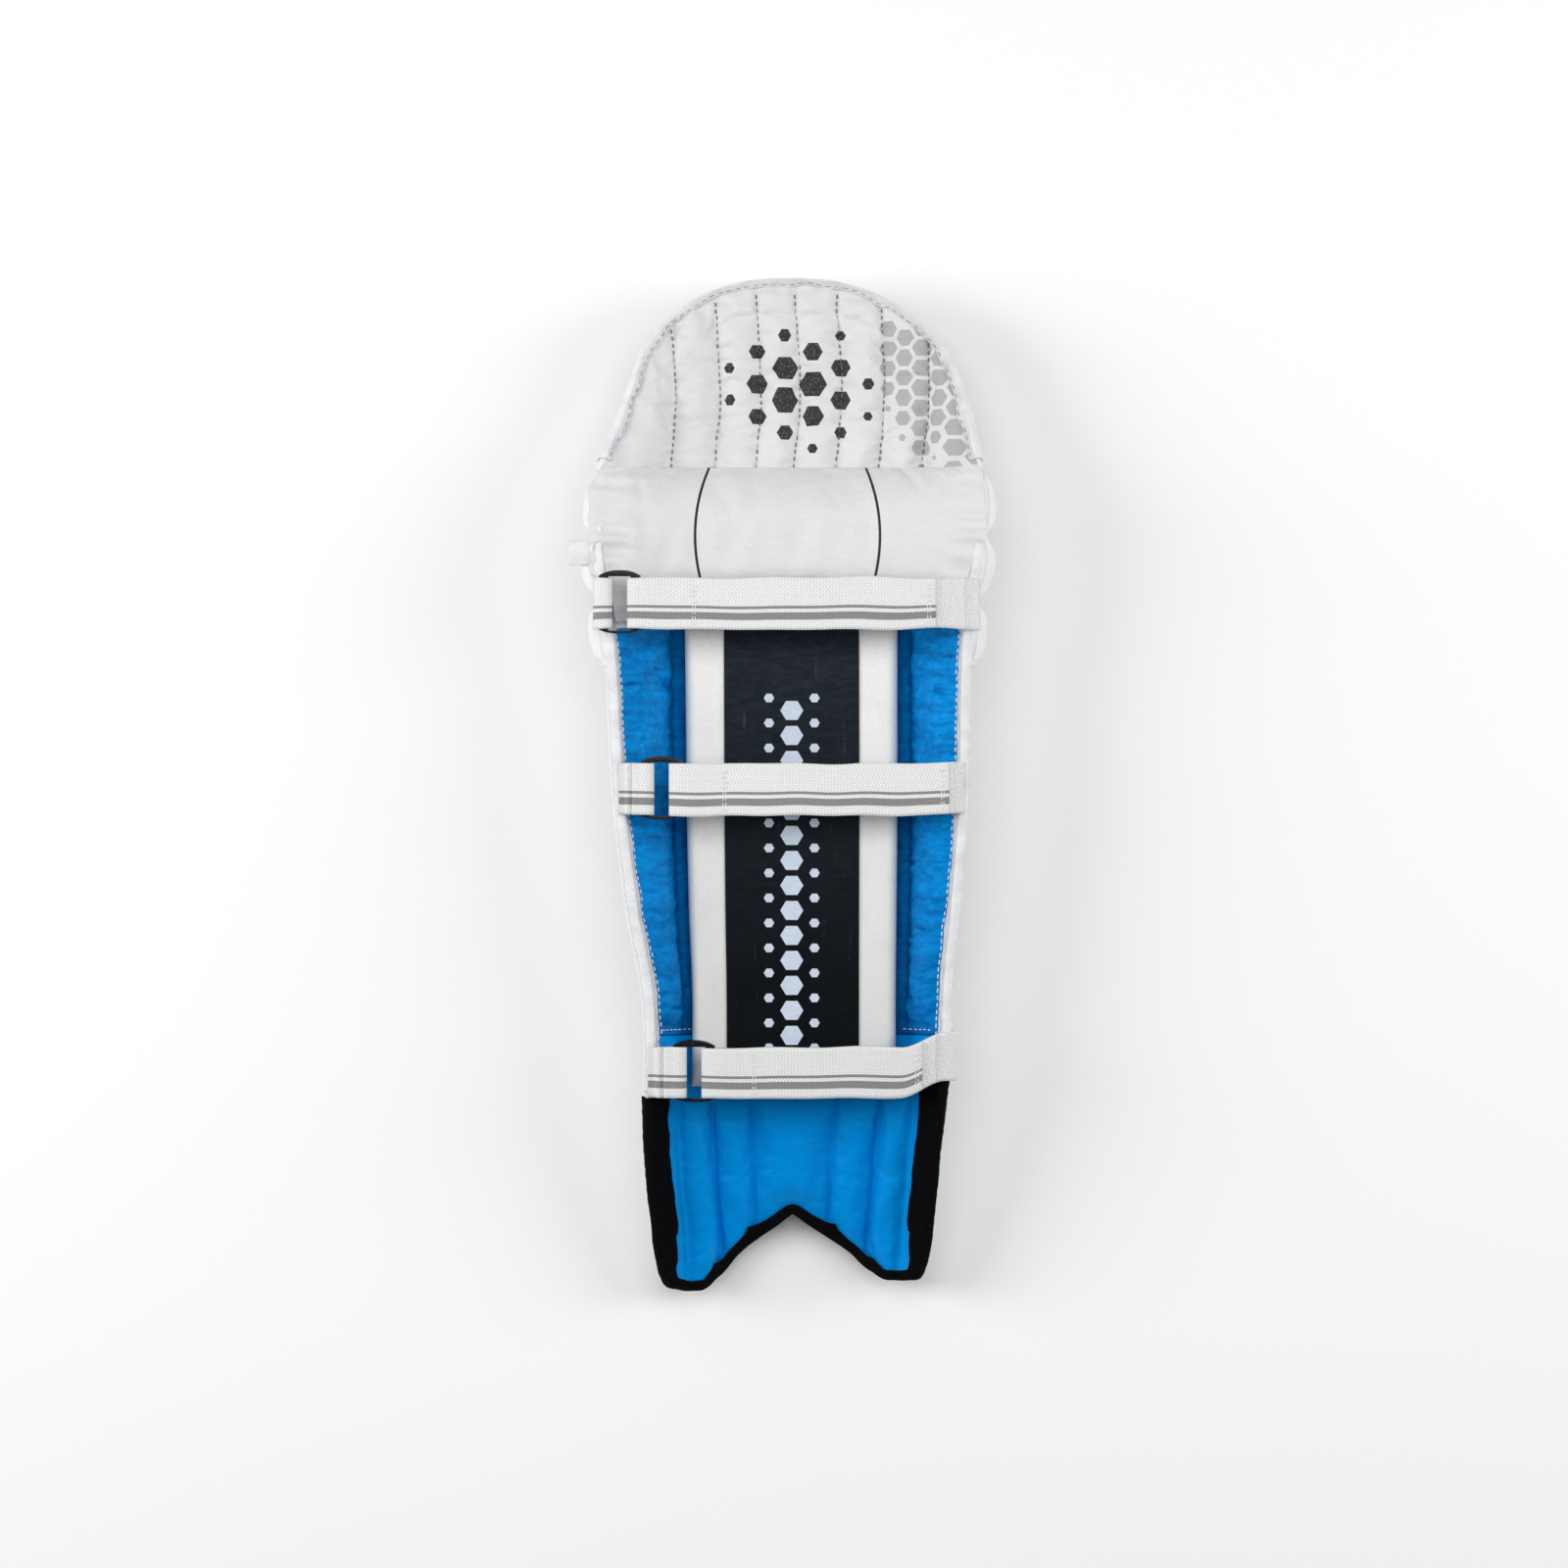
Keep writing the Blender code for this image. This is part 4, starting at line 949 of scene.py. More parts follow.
WHITE = white_cloth("white_face_cloth")
WHITE_PRINTED = white_cloth("white_printed_cloth", grey=0.70, printed=True)
WHITE_SATIN = white_cloth("white_satin_cloth", grey=0.71, lined=True)
TAPE = white_tape()
BLUE = blue_lining("blue_shiny_cloth", (0.0, 0.26, 0.70), (0.0, 0.085, 0.30), 1.0, shin=True)
BLUE_SMOOTH = blue_lining("blue_smooth_cloth", (0.0, 0.25, 0.68), (0.0, 0.18, 0.53), 0.35)
BLACK_TAPE = grained(
    "black_tape_weave", {"size": 0.0016, "detail": 4}, (0.62, 0.8), (0.0022, 0.0022, 0.0026),
    (0.011, 0.011, 0.013), bump=0.0005, Roughness=0.85, Specular_IOR_Level=0.04,
)
CREAM = cream_fabric()
PANEL = black_panel()
ELASTIC = elastic()
PILE = grained(
    "loop_pile", {"size": 0.0013, "detail": 4, "roughness": 0.7}, (0.35, 0.65), (0.66, 0.665, 0.67),
    (0.86, 0.865, 0.87), bump=0.0007, Roughness=0.95, Specular_IOR_Level=0.1, Sheen_Weight=0.35,
)
GREY_THREAD = thread("grey_thread", (0.17, 0.17, 0.19))
EDGE_THREAD = thread("edge_thread", (0.36, 0.36, 0.38))
WHITE_THREAD = thread("white_thread", (0.85, 0.86, 0.88))
BLUE_THREAD = thread("blue_thread", (0.003, 0.10, 0.30))
RING_BLACK = grained(
    "ring_plastic", {"size": 0.002, "detail": 5}, (0.5, 0.8), (0.006, 0.006, 0.007),
    (0.018, 0.018, 0.02), rough=(0.3, 0.8, 0.22, 0.42), Roughness=0.3, Specular_IOR_Level=0.18,
)


# Padded pieces


def flat_map(across, y):
    return np.stack(np.broadcast_arrays(across, y), axis=-1)


def toe_grid(seams, step, top, rows):
    """Shares of the half width and flat places of a grid from the toes up to a level top."""
    share = channel_columns(seams, step)[None, :]
    y = top + (toe_end(share) - top) * np.linspace(1, 0, rows)[:, None]
    return share, across_at(share, y), y


def make_front_face():
    top = KNEE_Y - LAYER_GAP
    share, across, y = toe_grid(FACE_SEAMS, 0.02, top, 130)
    away = near_seam(share, FACE_SEAMS[1:-1]) * abs(edge(y, 1.0))
    pucker = 0.0007 * waves(across, y, 0.008, 11, stretch=4) * np.exp(-away / 0.006)
    depth = slimmed(face_depth, across, y)
    depth = depth + pucker * rise(distance_to(TOE_OUTLINE, across, y))
    leg = bend(across, y, -BACK_GAP + 0 * depth, FACE_FLOOR)
    front = bend(across, y, -BACK_GAP - depth, FACE_FLOOR)
    flat = flat_map(across, y)
    slab("front_face_cloth", leg, front, flat, WHITE, "white_face", "front_face", fill=0.9)
    lines = []
    for seam in FACE_SEAMS[1:-1]:
        up = np.linspace(toe_end(seam) + 0.012, top - 0.004, 120)
        at = across_at(seam, up)
        lines.append(bend(at, up, -BACK_GAP - face_depth(at, up) - 0.0001, FACE_FLOOR))
    stitches("front_face_stitches", lines, GREY_THREAD, "white_face", seed=3)


def make_shin_lining():
    split = 0.6
    inner = np.linspace(-split, split, 52)
    side = split + (1 - split) * (1 - np.cos(np.linspace(0, math.pi, 25))) / 2
    column = np.concatenate([-side[:0:-1], inner, side[1:]])[None, :]
    y = np.linspace(ANKLE_Y, LINING_TOP_Y, 210)[:, None]
    middle = BOLSTER_MIDDLE_X - section(y)[1]
    low, high = middle - LINING_SEAM_ACROSS, middle + LINING_SEAM_ACROSS
    across = np.where(
        column < -split,
        low + (low - edge(y, -1.0)) * (column + split) / (1 - split),
        np.where(
            column > split,
            high + (edge(y, 1.0) - high) * (column - split) / (1 - split),
            low + (high - low) * (column + split) / (2 * split),
        ),
    )
    out = LAYER_GAP / 2 + slimmed(lining_depth, across, y)
    ankle = LAYER_GAP / 2 + slimmed(instep_depth, across, y)
    out = ankle + (out - ankle) * ease(0.002, 0.014, y - ANKLE_Y)
    from_middle = across + section(y)[1] - BOLSTER_MIDDLE_X
    from_stitches = half_width(across, y) - abs(across) - SHIN_TAPE_REACH - HELD_PAST_TAPE
    away = np.minimum(abs(abs(from_middle) - LINING_SEAM_ACROSS), np.maximum(0, from_stitches))
    away = np.minimum(away, np.maximum(0, y - ANKLE_Y - 0.004))
    held = border(across.shape) | (away < HELD_BY_SEAM)
    held |= abs(from_middle) < BOLSTER_HALF - HELD_IN_BOLSTER
    held |= np.broadcast_to(y > KNEE_TOP_Y - 0.5 * KNEE_BOLSTER_HEIGHT, held.shape)
    place = puffed(across, y, out, held, pressure=60, slack=0.055, cap=0.0042)
    channel = (abs(from_middle) > LINING_SEAM_ACROSS) & (y < KNEE_Y + 0.02)
    ripple = waves(across, y, 0.0062, 21, stretch=6) * 0.0010
    ripple *= 0.55 + 0.45 * waves(across, y, 0.05, 22)
    place[..., 2] += ripple * channel * np.clip(away / 0.003, 0, 1) * np.exp(-away / 0.020)
    leg = bend(*parts(place))
    back = bend(across, y, LAYER_GAP / 2 + 0 * out)
    flat = flat_map(from_middle, y)
    slab("shin_lining_cloth", leg, back, flat, BLUE, "blue_lining", "shin_lining", fill=0.75)
    up = np.linspace(ANKLE_Y + 0.004, KNEE_Y + 0.01, 110)
    lines = []
    for side in (-1, 1):
        at = BOLSTER_MIDDLE_X - section(up)[1] + side * LINING_SEAM_ACROSS
        lines.append(bend(at, up, LAYER_GAP / 2 + LINING_SEAM_DEPTH + 0.0002))
    stitches("shin_lining_stitches", lines, BLUE_THREAD, "blue_lining", width=0.0006, seed=5)
    lines = []
    for side in (-1.0, 1.0):
        y_seam = np.full(60, ANKLE_Y + 0.003)
        at = side * np.linspace(0.066, abs(edge(ANKLE_Y, side)) - 0.006, 60)
        lines.append(bend(at, y_seam, LAYER_GAP / 2 + instep_depth(at, y_seam) + 0.0006))
    stitches("ankle_seam_stitches", lines, WHITE_THREAD, "blue_lining", width=0.0007, seed=6)


def make_instep_lining():
    share, across, y = toe_grid(INSTEP_SEAMS, 0.021, ANKLE_Y, 72)
    out = LAYER_GAP / 2 + slimmed(instep_depth, across, y)
    away = near_seam(share, INSTEP_SEAMS) * abs(edge(y, 1.0))
    held = border(across.shape) | (away < HELD_BY_SEAM) | (abs(share) > INSTEP_SEAMS[-2])
    held |= np.broadcast_to(y > ANKLE_Y - 0.012, held.shape)
    place = puffed(across, y, out, held, pressure=60, slack=0.02, cap=0.0030)
    place[..., 2] += 0.00035 * waves(across, y, 0.022, 31, stretch=0.6) * np.clip(away / 0.006, 0, 1)
    leg = bend(*parts(place))
    back = bend(across, y, LAYER_GAP / 2 + 0 * out)
    flat = flat_map(across, y)
    piece = slab("instep_cloth", leg, back, flat, BLUE_SMOOTH, "blue_lining", "instep_lining", fill=0.8)
    refine(piece)


def bolster_span():
    """Bottom and top of the shin bolster."""
    return ANKLE_Y - BOLSTER_FOOT, KNEE_TOP_Y - KNEE_BOLSTER_HEIGHT - 4 * LAYER_GAP


def bolster_place(share, along):
    """Flat places on the bolster for shares of its half width and half length."""
    bottom, top = bolster_span()
    y = bottom + (top - bottom) * (along + 1) / 2
    return BOLSTER_MIDDLE_X - section(y)[1] + share * BOLSTER_HALF * BOLSTER_SWELL, y


def bolster_depth(share, along):
    """Depth of the shin bolster: a nearly level top with round sides and ends."""
    crown = np.maximum(0.1, rounded(share, 26)) * np.maximum(0.12, rounded(along, 22))
    across, y = bolster_place(share, along)
    dents = 0.0006 * waves(across, y, 0.05, 41, stretch=0.7) * lens(share) * lens(along)
    return BOLSTER_DEPTH * crown + dents


def make_shin_bolster():
    share = closer_at_ends(72)[None, :]
    near_end = 1 - 0.1 * np.linspace(0, 1, 12) ** 2
    along = np.concatenate([-near_end, np.linspace(-0.9, 0.9, 80)[1:-1], near_end[::-1]])[:, None]
    across, y = bolster_place(share, along)
    seat = SEAT_GAP + LINING_MIDDLE
    depth = bolster_depth(share, along)
    slab(
        "shin_bolster_cloth", upright(across, y, seat + depth, seat), bend(across, y, seat + 0 * depth),
        flat_map(across, y), CREAM, "cream_fabric", "shin_bolster", fill=0.9,
    )
    share = np.linspace(-1, 1, 60)[None, :]
    limit = math.radians(PANEL_END_ANGLE)
    along = np.sin(np.linspace(-limit, limit, 120))[:, None]
    on_bolster = share * PANEL_HALF * PANEL_SWELL / (BOLSTER_HALF * BOLSTER_SWELL)
    across, y = bolster_place(on_bolster, along)
    under = seat + bolster_depth(on_bolster, along) + PANEL_LIFT
    hem = 1 - 0.6 * abs(share) ** 14
    top = under + (PANEL_THICKNESS + PANEL_CROWN) * hem
    slab(
        "bolster_panel_cloth", upright(across, y, top, seat), upright(across, y, under, seat),
        flat_map(share * PANEL_HALF, y), PANEL, "black_panel", "bolster_panel",
    )


def make_knee_bolster():
    share = closer_at_ends(112, 80)[None, :]
    along = closer_at_ends(56)[:, None]
    bottom, top = KNEE_TOP_Y - KNEE_BOLSTER_HEIGHT, KNEE_TOP_Y + 0.003
    y = bottom + (top - bottom) * (along + 1) / 2
    across = across_at(KNEE_BOLSTER_SHARE * share, y)
    base = SEAT_GAP + lining_depth(across, y, over_seams=True)
    side = np.maximum(0.26, rounded(share, 4))
    body = KNEE_BOLSTER_DEPTH * side * rounded(KNEE_BOLSTER_SHARE * along, 2.6)
    out = base + np.maximum(KNEE_BOLSTER_RIM, body)
    y = y + 0 * across
    held = border(across.shape)
    place = puffed(across, y, out, held, pressure=20, slack=0.012, cap=0.0022)
    to_end = ease(0.7, 0.98, abs(share))
    pleats = waves(across, y, 0.011, 51, stretch=6) * 0.0042 * to_end * lens(along) ** 0.5
    creases = waves(across, y, 0.03, 52, stretch=0.6) * 0.0007 * lens(along)
    place[..., 2] = np.maximum(base, place[..., 2] + pleats + creases)
    leg = upright(*parts(place), base)
    over_edge = ease(0.84, 1.0, abs(share)) * rounded(along, 9)
    over_edge = over_edge * ease(KNEE_OVERHANG_FROM, KNEE_OVERHANG_FULL, y)
    overhang = np.where(share < 0, -KNEE_OVERHANG[-1], KNEE_OVERHANG[1])
    leg[..., 0] += overhang * over_edge * (1 + 0.12 * waves(across, y, 0.012, 53, stretch=6))
    back = bend(across, y, base)
    plan = leg[..., :2] - np.array([BOLSTER_LINE_MIDDLE, 0.0])
    piece = slab("knee_bolster_cloth", leg, back, plan, WHITE_SATIN, "white_face", "knee_bolster", fill=0.9)
    refine(piece)


def roll_depth(share):
    """Depth of a knee roll: full across the knee, slimmer towards its ends."""
    across_knee = np.maximum(0.0, 1 - abs(share / 0.62) ** 3)
    return ROLL_END_DEPTH + (ROLL_DEPTH - ROLL_END_DEPTH) * across_knee


def make_knee_roll(name, number):
    height = KNEE_HEIGHT / ROLL_COUNT
    middle_y = KNEE_Y + (number + 0.5) * height
    share = closer_at_ends(130, 84)[None, :]
    along = closer_at_ends(26)[:, None]
    y = middle_y + along * (height - ROLL_GAP) / 2 + 0 * share
    across = across_at(share, y)
    bulge = np.maximum(0.5, rounded(along, 2.6)) * np.maximum(0.35, rounded(share, 30))
    to_end = ease(0.55, 1.0, abs(share))
    pucker = 0.0009 * waves(across, y, 0.009, 60 + number, stretch=1.2)
    pucker = pucker * (0.25 + to_end) * (0.3 + 0.7 * along**4) * rounded(share, 30)
    depth = roll_depth(share) * bulge + pucker
    leg = bend(across, y, -BACK_GAP + 0 * depth)
    front = bend(across, y, -BACK_GAP - depth)
    flat = flat_map(across, y)
    slab(f"{name}_cloth", leg, front, flat, WHITE, "white_face", name, fill=0.95)


def make_top_hat():
    share = np.clip(channel_columns(TOP_HAT_SEAMS, 0.0185), -1, 1)[None, :]
    up = (1 - (1 - np.linspace(0, 1, 58)) ** 1.15)[:, None]
    across, y = top_hat_place(share, up)
    distance = distance_to(TOP_HAT_OUTLINE, across, y)
    bulge = channel_bulge(share, TOP_HAT_SEAMS)
    leg_depth = top_hat_depth(TOP_HAT_BACK, bulge, distance)
    front_depth = top_hat_depth(TOP_HAT_FRONT, bulge, distance)
    away = near_seam(share, TOP_HAT_SEAMS) * TOP_HAT_HALF
    held = border(across.shape) | (away < 0.0007) | (distance < 0.0035)
    place = puffed(across, y, leg_depth, held, pressure=90, slack=0.045, cap=0.0045)
    inside = np.clip(distance / 0.012, 0, 1)
    pucker = 0.0015 * waves(across, y, 0.0068, 71, stretch=4) * np.exp(-away / 0.006)
    crease = 0.0006 * waves(across, y, 0.016, 72, stretch=1.5)
    place[..., 2] += (pucker + crease) * inside * np.clip(away / 0.002, 0, 1)
    leg = bend(*parts(place))
    front = bend(across, y, -front_depth - (pucker + crease) * inside)
    flat = bend(across, y, TOP_HAT_BACK)[..., :2]
    piece = slab("top_hat_cloth", leg, front, flat, WHITE_PRINTED, "white_face", "top_hat", fill=0.7)
    piece.data.materials.append(WHITE)
    for face in piece.data.polygons[(across.shape[0] - 1) * (across.shape[1] - 1):]:
        face.material_index = 1
    refine(piece)
    lines = []
    for seam in TOP_HAT_SEAMS[1:-1]:
        at, up_y = top_hat_place(np.full(90, seam), np.linspace(0.01, 0.955, 90))
        from_edge = distance_to(TOP_HAT_OUTLINE, at, up_y)
        at = at + 0.0005 * waves(up_y, 0 * up_y, 0.03, 80 + int(100 * abs(seam)))
        lines.append(bend(at, up_y, top_hat_depth(TOP_HAT_BACK, 0.0, from_edge) + 0.0007))
        lines.append(bend(at, up_y, -top_hat_depth(TOP_HAT_FRONT, 0.0, from_edge) - 0.0001))
    stitches("top_hat_stitches", lines, GREY_THREAD, "white_face", width=0.0009, seed=7)


# Bindings


def fold_section(count=7):
    """Round a folded tape from its front edge to its leg edge: how far in, how far past the
    edge and how high between the front and leg heights, each as a share."""
    run = np.linspace(1, 0, count)
    turn = np.radians(np.linspace(-90, 90, 9))
    inward = np.concatenate([run, 0 * turn[1:-1], run[::-1]])
    past = np.concatenate([0 * run, np.cos(turn)[1:-1], 0 * run])
    height = np.concatenate([0 * run - 1, np.sin(turn)[1:-1], 0 * run + 1])
    return inward, past, height


def make_binding(
    name, node, line, depths, reaches, clear, finish, slot, seed,
    unevenness=0.12, stitch_in=-TAPE_STITCH_IN,
):
    """A tape folded over an edge. line gives the edge's flat places in order, with the pad on
    its left; reaches gives how far in it reaches on its front and leg sides at each. On the leg
    side it is sewn stitch_in from its inner edge, on the cloth where that is above 0. It returns
    the lines of its stitches on the two sides."""
    line = np.asarray(line, float)
    along = np.gradient(line, axis=0)
    along /= np.linalg.norm(along, axis=1)[:, None]
    inward = np.stack([-along[:, 1], along[:, 0]], axis=1)
    travel = travel_along(line)
    share, past, height = (values[None, :] for values in fold_section())
    uneven = 1 + unevenness * waves(travel, 0 * travel, 0.02, seed)
    reach = np.where(height < 0, *(r[:, None] * uneven[:, None] for r in reaches))
    lift = clear + BINDING_THICKNESS / 2
    distance = share * reach
    place = line[:, None, :] + inward[:, None, :] * (distance - past * lift)[..., None]
    held = line[:, None, :] + inward[:, None, :] * distance[..., None]
    leg, front = depths(*parts(held))
    top, bottom = leg + lift, -front - lift
    out = (top + bottom) / 2 + height * (top - bottom) / 2
    out = out + 0.00018 * waves(travel[:, None], 8 * height, 0.006, seed + 1)
    points = bend(*parts(place), out, BINDING_THICKNESS / 2)
    flat = flat_map(travel[:, None], (share * height * 0.01) + height * 0.002)
    sheet(name, points, flat, BINDING_THICKNESS, finish, slot, node, even=False)
    inner = held[:, -1] + inward * stitch_in
    raised = lift + TAPE_STITCH_LIFT if stitch_in < 0 else CLOTH_STITCH_LIFT
    sewn = bend(*parts(inner), depths(*parts(inner))[0] + raised)
    outer = held[:, 0] - inward * TAPE_STITCH_IN
    below = -depths(*parts(outer))[1] - lift - FRONT_STITCH_LIFT
    front_sewn = bend(*parts(outer), below, STITCH_FLOOR)
    return sewn, front_sewn


def make_side_bindings():
    """The white tapes down the pad's two sides, from the top of the knee to the instep's."""

    def depths(across, y):
        lining, instep, face = (
            slimmed(depth, across, y, over_seams=True)
            for depth in (lining_depth, instep_depth, face_depth)
        )
        leg = LAYER_GAP / 2 + np.where(y > ANKLE_Y, lining, instep)
        return leg, BACK_GAP + np.where(y > KNEE_Y, KNEE_EDGE_DEPTH, face)

    rows = []
    for side, name in ((1, "shin_binding_right"), (-1, "shin_binding_left")):
        low = ANKLE_Y - (TAPE_CHANGE[side] - 0.02) * INSTEP_LENGTH
        y = np.linspace(low, KNEE_TOP_Y - LAYER_GAP, 190)[::side]
        line = np.stack([edge(y, float(side)), y], axis=-1)
        reaches = (np.full(len(y), SHIN_TAPE_REACH),) * 2
        rows += make_binding(
            f"{name}_tape", name, line, depths, reaches, TAPE_CLEAR, TAPE, "white_tape", 90 + side,
            stitch_in=SIDE_STITCH_PAST,
        )
    stitches("side_binding_stitches", rows, WHITE_THREAD, "white_tape", width=0.0009, seed=9)


def make_top_hat_binding():
    def depths(across, y):
        distance = distance_to(TOP_HAT_OUTLINE, across, y)
        leg = top_hat_depth(TOP_HAT_BACK, 1.0, distance)
        return leg, top_hat_depth(TOP_HAT_FRONT, 1.0, distance)

    line = TOP_HAT_OUTLINE[4:-4]
    reaches = (np.full(len(line), TOP_HAT_TAPE_REACH),) * 2
    rows = make_binding(
        "top_hat_binding_tape", "top_hat_binding", line, depths, reaches, TAPE_CLEAR,
        TAPE, "white_tape", 95, unevenness=0.2,
    )
    stitches("top_hat_binding_stitches", rows, EDGE_THREAD, "white_tape", length=0.0034, gap=0.002)


def make_instep_binding():
    left_top, right_top = (ANKLE_Y - TAPE_CHANGE[side] * INSTEP_LENGTH for side in (-1, 1))
    left_y = np.linspace(left_top, toe_end(-1.0) + TOE_CORNER, 50)
    shares = np.linspace(-0.98, 0.98, 180)
    right_y = np.linspace(toe_end(1.0) + TOE_CORNER, right_top, 50)
    left = np.stack([edge(left_y, -1.0), left_y], axis=-1)
    toes = np.stack([across_at(shares, toe_end(shares)), toe_end(shares)], axis=-1)
    right = np.stack([edge(right_y, 1.0), right_y], axis=-1)
    line = np.concatenate([left, toes, right])

    def depths(across, y):
        leg = LAYER_GAP / 2 + slimmed(instep_depth, across, y, over_seams=True)
        return leg, BACK_GAP + slimmed(face_depth, across, y, over_seams=True)

    at = np.arange(len(line))
    to_side = np.maximum(ease(58, 44, at), ease(len(line) - 58, len(line) - 44, at))
    round_shares = np.concatenate([0 * left_y - 1, shares, 0 * right_y + 1])
    at_seam = 1 - channel_bulge(round_shares, (-1.0, *INSTEP_SEAMS[2:-2], 1.0))
    end_reach = INSTEP_TAPE_REACH * (0.85 + 0.75 * at_seam)
    leg_reach = end_reach + (INSTEP_SIDE_BINDING - end_reach) * to_side
    reaches = (np.full(len(line), INSTEP_TAPE_REACH), leg_reach)
    make_binding(
        "instep_binding_tape", "instep_binding", line, depths, reaches, 2 * TAPE_CLEAR,
        BLACK_TAPE, "black_tape", 97, unevenness=0.02,
    )


# Straps


def strap_y(strap):
    return ANKLE_Y + (KNEE_TOP_Y - ANKLE_Y) * strap.up


def plan_point(across, y, out):
    x, _, z = bend(across, y, out)
    return float(x), float(z)


def sewn_points(strap, side):
    """Outer and inner end of where the strap is sewn down at the pad's edge, as x and z."""
    y = strap_y(strap)
    at = edge(y, float(side))
    lift = STRAP_CLEAR + STRAP_THICKNESS / 2
    if strap.on_roll:
        at = at + side * (lift + ROLL_SEAT_CLEAR)
        return [plan_point(at, y, -depth) for depth in (strap.sewn, 0.0)]
    x, z = plan_point(at, y, 0.0)
    z += BINDING_CLEAR + BINDING_THICKNESS + STRAP_CLEAR + lift
    return [(x + side * strap.sewn, z), (x + side * (strap.sewn - SEWN_LENGTH), z)]


def strap_tilt(strap):
    """Rise of the pad's two edges for each metre up the pad, at the strap."""
    low, high = strap_y(strap) - STRAP_WIDTH / 2, strap_y(strap) + STRAP_WIDTH / 2
    rises = [
        plan_point(edge(high, s), high, 0.0)[1] - plan_point(edge(low, s), low, 0.0)[1]
        for s in (-1.0, 1.0)
    ]
    return sum(rises) / 2 / STRAP_WIDTH


def strap_height(strap, x):
    """Height of the strap's middle line, which bows up a little between the two edges."""
    (left_x, left_z), (right_x, right_z) = sewn_points(strap, -1)[1], sewn_points(strap, 1)[1]
    share = (x - left_x) / (right_x - left_x)
    return left_z + (right_z - left_z) * share + strap.rise + STRAP_BOW * lens(2 * share - 1)


def strap_x(strap, share):
    """A share of the half width at the strap, as x."""
    left_x, right_x = sewn_points(strap, -1)[1][0], sewn_points(strap, 1)[1][0]
    return (left_x + right_x) / 2 + share * (right_x - left_x) / 2


def layers_apart():
    """Half the distance between the strap's two layers where they lie on the patch."""
    return (STRAP_THICKNESS + PATCH_THICKNESS) / 2 + STRAP_CLEAR


def fold_radius():
    return math.hypot(RING_BAR / 2, RING_THICKNESS / 2) + RING_CLEAR + STRAP_THICKNESS / 2


def bar_place(strap, side):
    """Middle of the ring's bar on that side of it, as x and z."""
    x = strap_x(strap, strap.ring) + side * (RING_WIDTH - RING_BAR) / 2
    return x, float(strap_height(strap, x))


def upper_layer(strap, x):
    """Height of the band's upper layer, which closes onto the patch beyond the ring."""
    near = ease(0, STRAP_CLOSING, x - bar_place(strap, 1)[0])
    return strap_height(strap, x) + fold_radius() + (layers_apart() - fold_radius()) * near


def lower_layer(strap, x):
    """Height of the band's lower layer, which comes down to where it is sewn at the right."""
    sewn_x, sewn_z = sewn_points(strap, 1)[1]
    above = 2 * strap_height(strap, x) - upper_layer(strap, x)
    near = np.maximum(0.0, 1 - (sewn_x - x) / STRAP_DROP_LENGTH)
    drop = strap_height(strap, sewn_x) - layers_apart() - sewn_z
    return above - drop * near * near


def turn_points(centre, start, end):
    """Points of the turn round a ring's bar between two angles, in degrees."""
    angles = np.radians(np.linspace(start, end, max(4, round(abs(end - start) / 8))))
    return [
        (centre[0] + fold_radius() * math.cos(a), centre[1] + fold_radius() * math.sin(a))
        for a in angles
    ]


def round_the_edge(strap):
    """From the pad's outer face up round its right edge, as x and z."""
    y = strap_y(strap)
    at = edge(y, 1.0)
    lift = STRAP_CLEAR + STRAP_THICKNESS / 2
    points = []
    for back in (STRAP_END, 0.6 * STRAP_END, 0.25 * STRAP_END):
        depth = float(face_depth(at - back, y, over_seams=True))
        points.append(plan_point(at - back, y, -BACK_GAP - depth - 2 * lift - EDGE_DEPTH / 2))
    points.append(plan_point(at + 2 * lift + EDGE_DEPTH / 2, y, -EDGE_DEPTH))
    return points


def layer_points(height, strap, xs):
    return [(float(x), float(height(strap, x))) for x in xs]


def band_path(strap):
    """The band from the right edge to the ring, round its bar and back to the free end."""
    bar = bar_place(strap, 1)
    outer, inner = sewn_points(strap, 1)
    dropped = inner[0] - STRAP_DROP_LENGTH
    xs = [*np.linspace(inner[0], dropped, 14), *np.linspace(dropped, bar[0], 40)[1:-1]]
    path = round_the_edge(strap) if strap.outside else []
    path += [outer, *layer_points(lower_layer, strap, xs)]
    path += turn_points(bar, 270, 90)
    ends = np.linspace(bar[0], strap_x(strap, strap.free_end), 60)[1:]
    return path + layer_points(upper_layer, strap, ends)


def tab_path(strap):
    """The tab from the left edge up to the ring, round its bar and a little way back under."""
    outer, inner = (np.array(point) for point in sewn_points(strap, -1))
    bar = np.array(bar_place(strap, -1))
    start = outer + (inner - outer) * SEWN_LENGTH / np.hypot(*(inner - outer))
    away = start - bar
    entry = math.atan2(away[1], away[0]) % (2 * math.pi)
    entry -= math.acos(fold_radius() / np.hypot(*away))
    turn = turn_points(bar, math.degrees(entry), -90)
    run = np.array(turn[0]) - start
    square = np.array([-run[1], run[0]]) / np.hypot(*run)
    folds = [start + share * run + height * TAB_FOLD * square for share, height in TAB_FOLDS]
    path = [tuple(outer), tuple(start), *map(tuple, folds), *turn]
    if bar[0] - TAB_RETURN > start[0] + TAB_RETURN:
        path.append((bar[0] - TAB_RETURN, bar[1] - fold_radius()))
    return path


def patch_path(strap):
    """The pile patch, on the band's lower layer from under the free end to the pad's edge."""
    start = strap_x(strap, strap.free_end) - PATCH_OVERLAP
    xs = np.linspace(start, sewn_points(strap, 1)[1][0] - PATCH_END, 50)
    return [(x, z + layers_apart()) for x, z in layer_points(lower_layer, strap, xs)]


def climb(strap, x):
    """How far the strap has moved up the pad at x."""
    start, end = strap_x(strap, strap.free_end - 0.15), sewn_points(strap, 1)[0][0]
    return strap.climb * STRAP_WIDTH * ease(start, end, x)


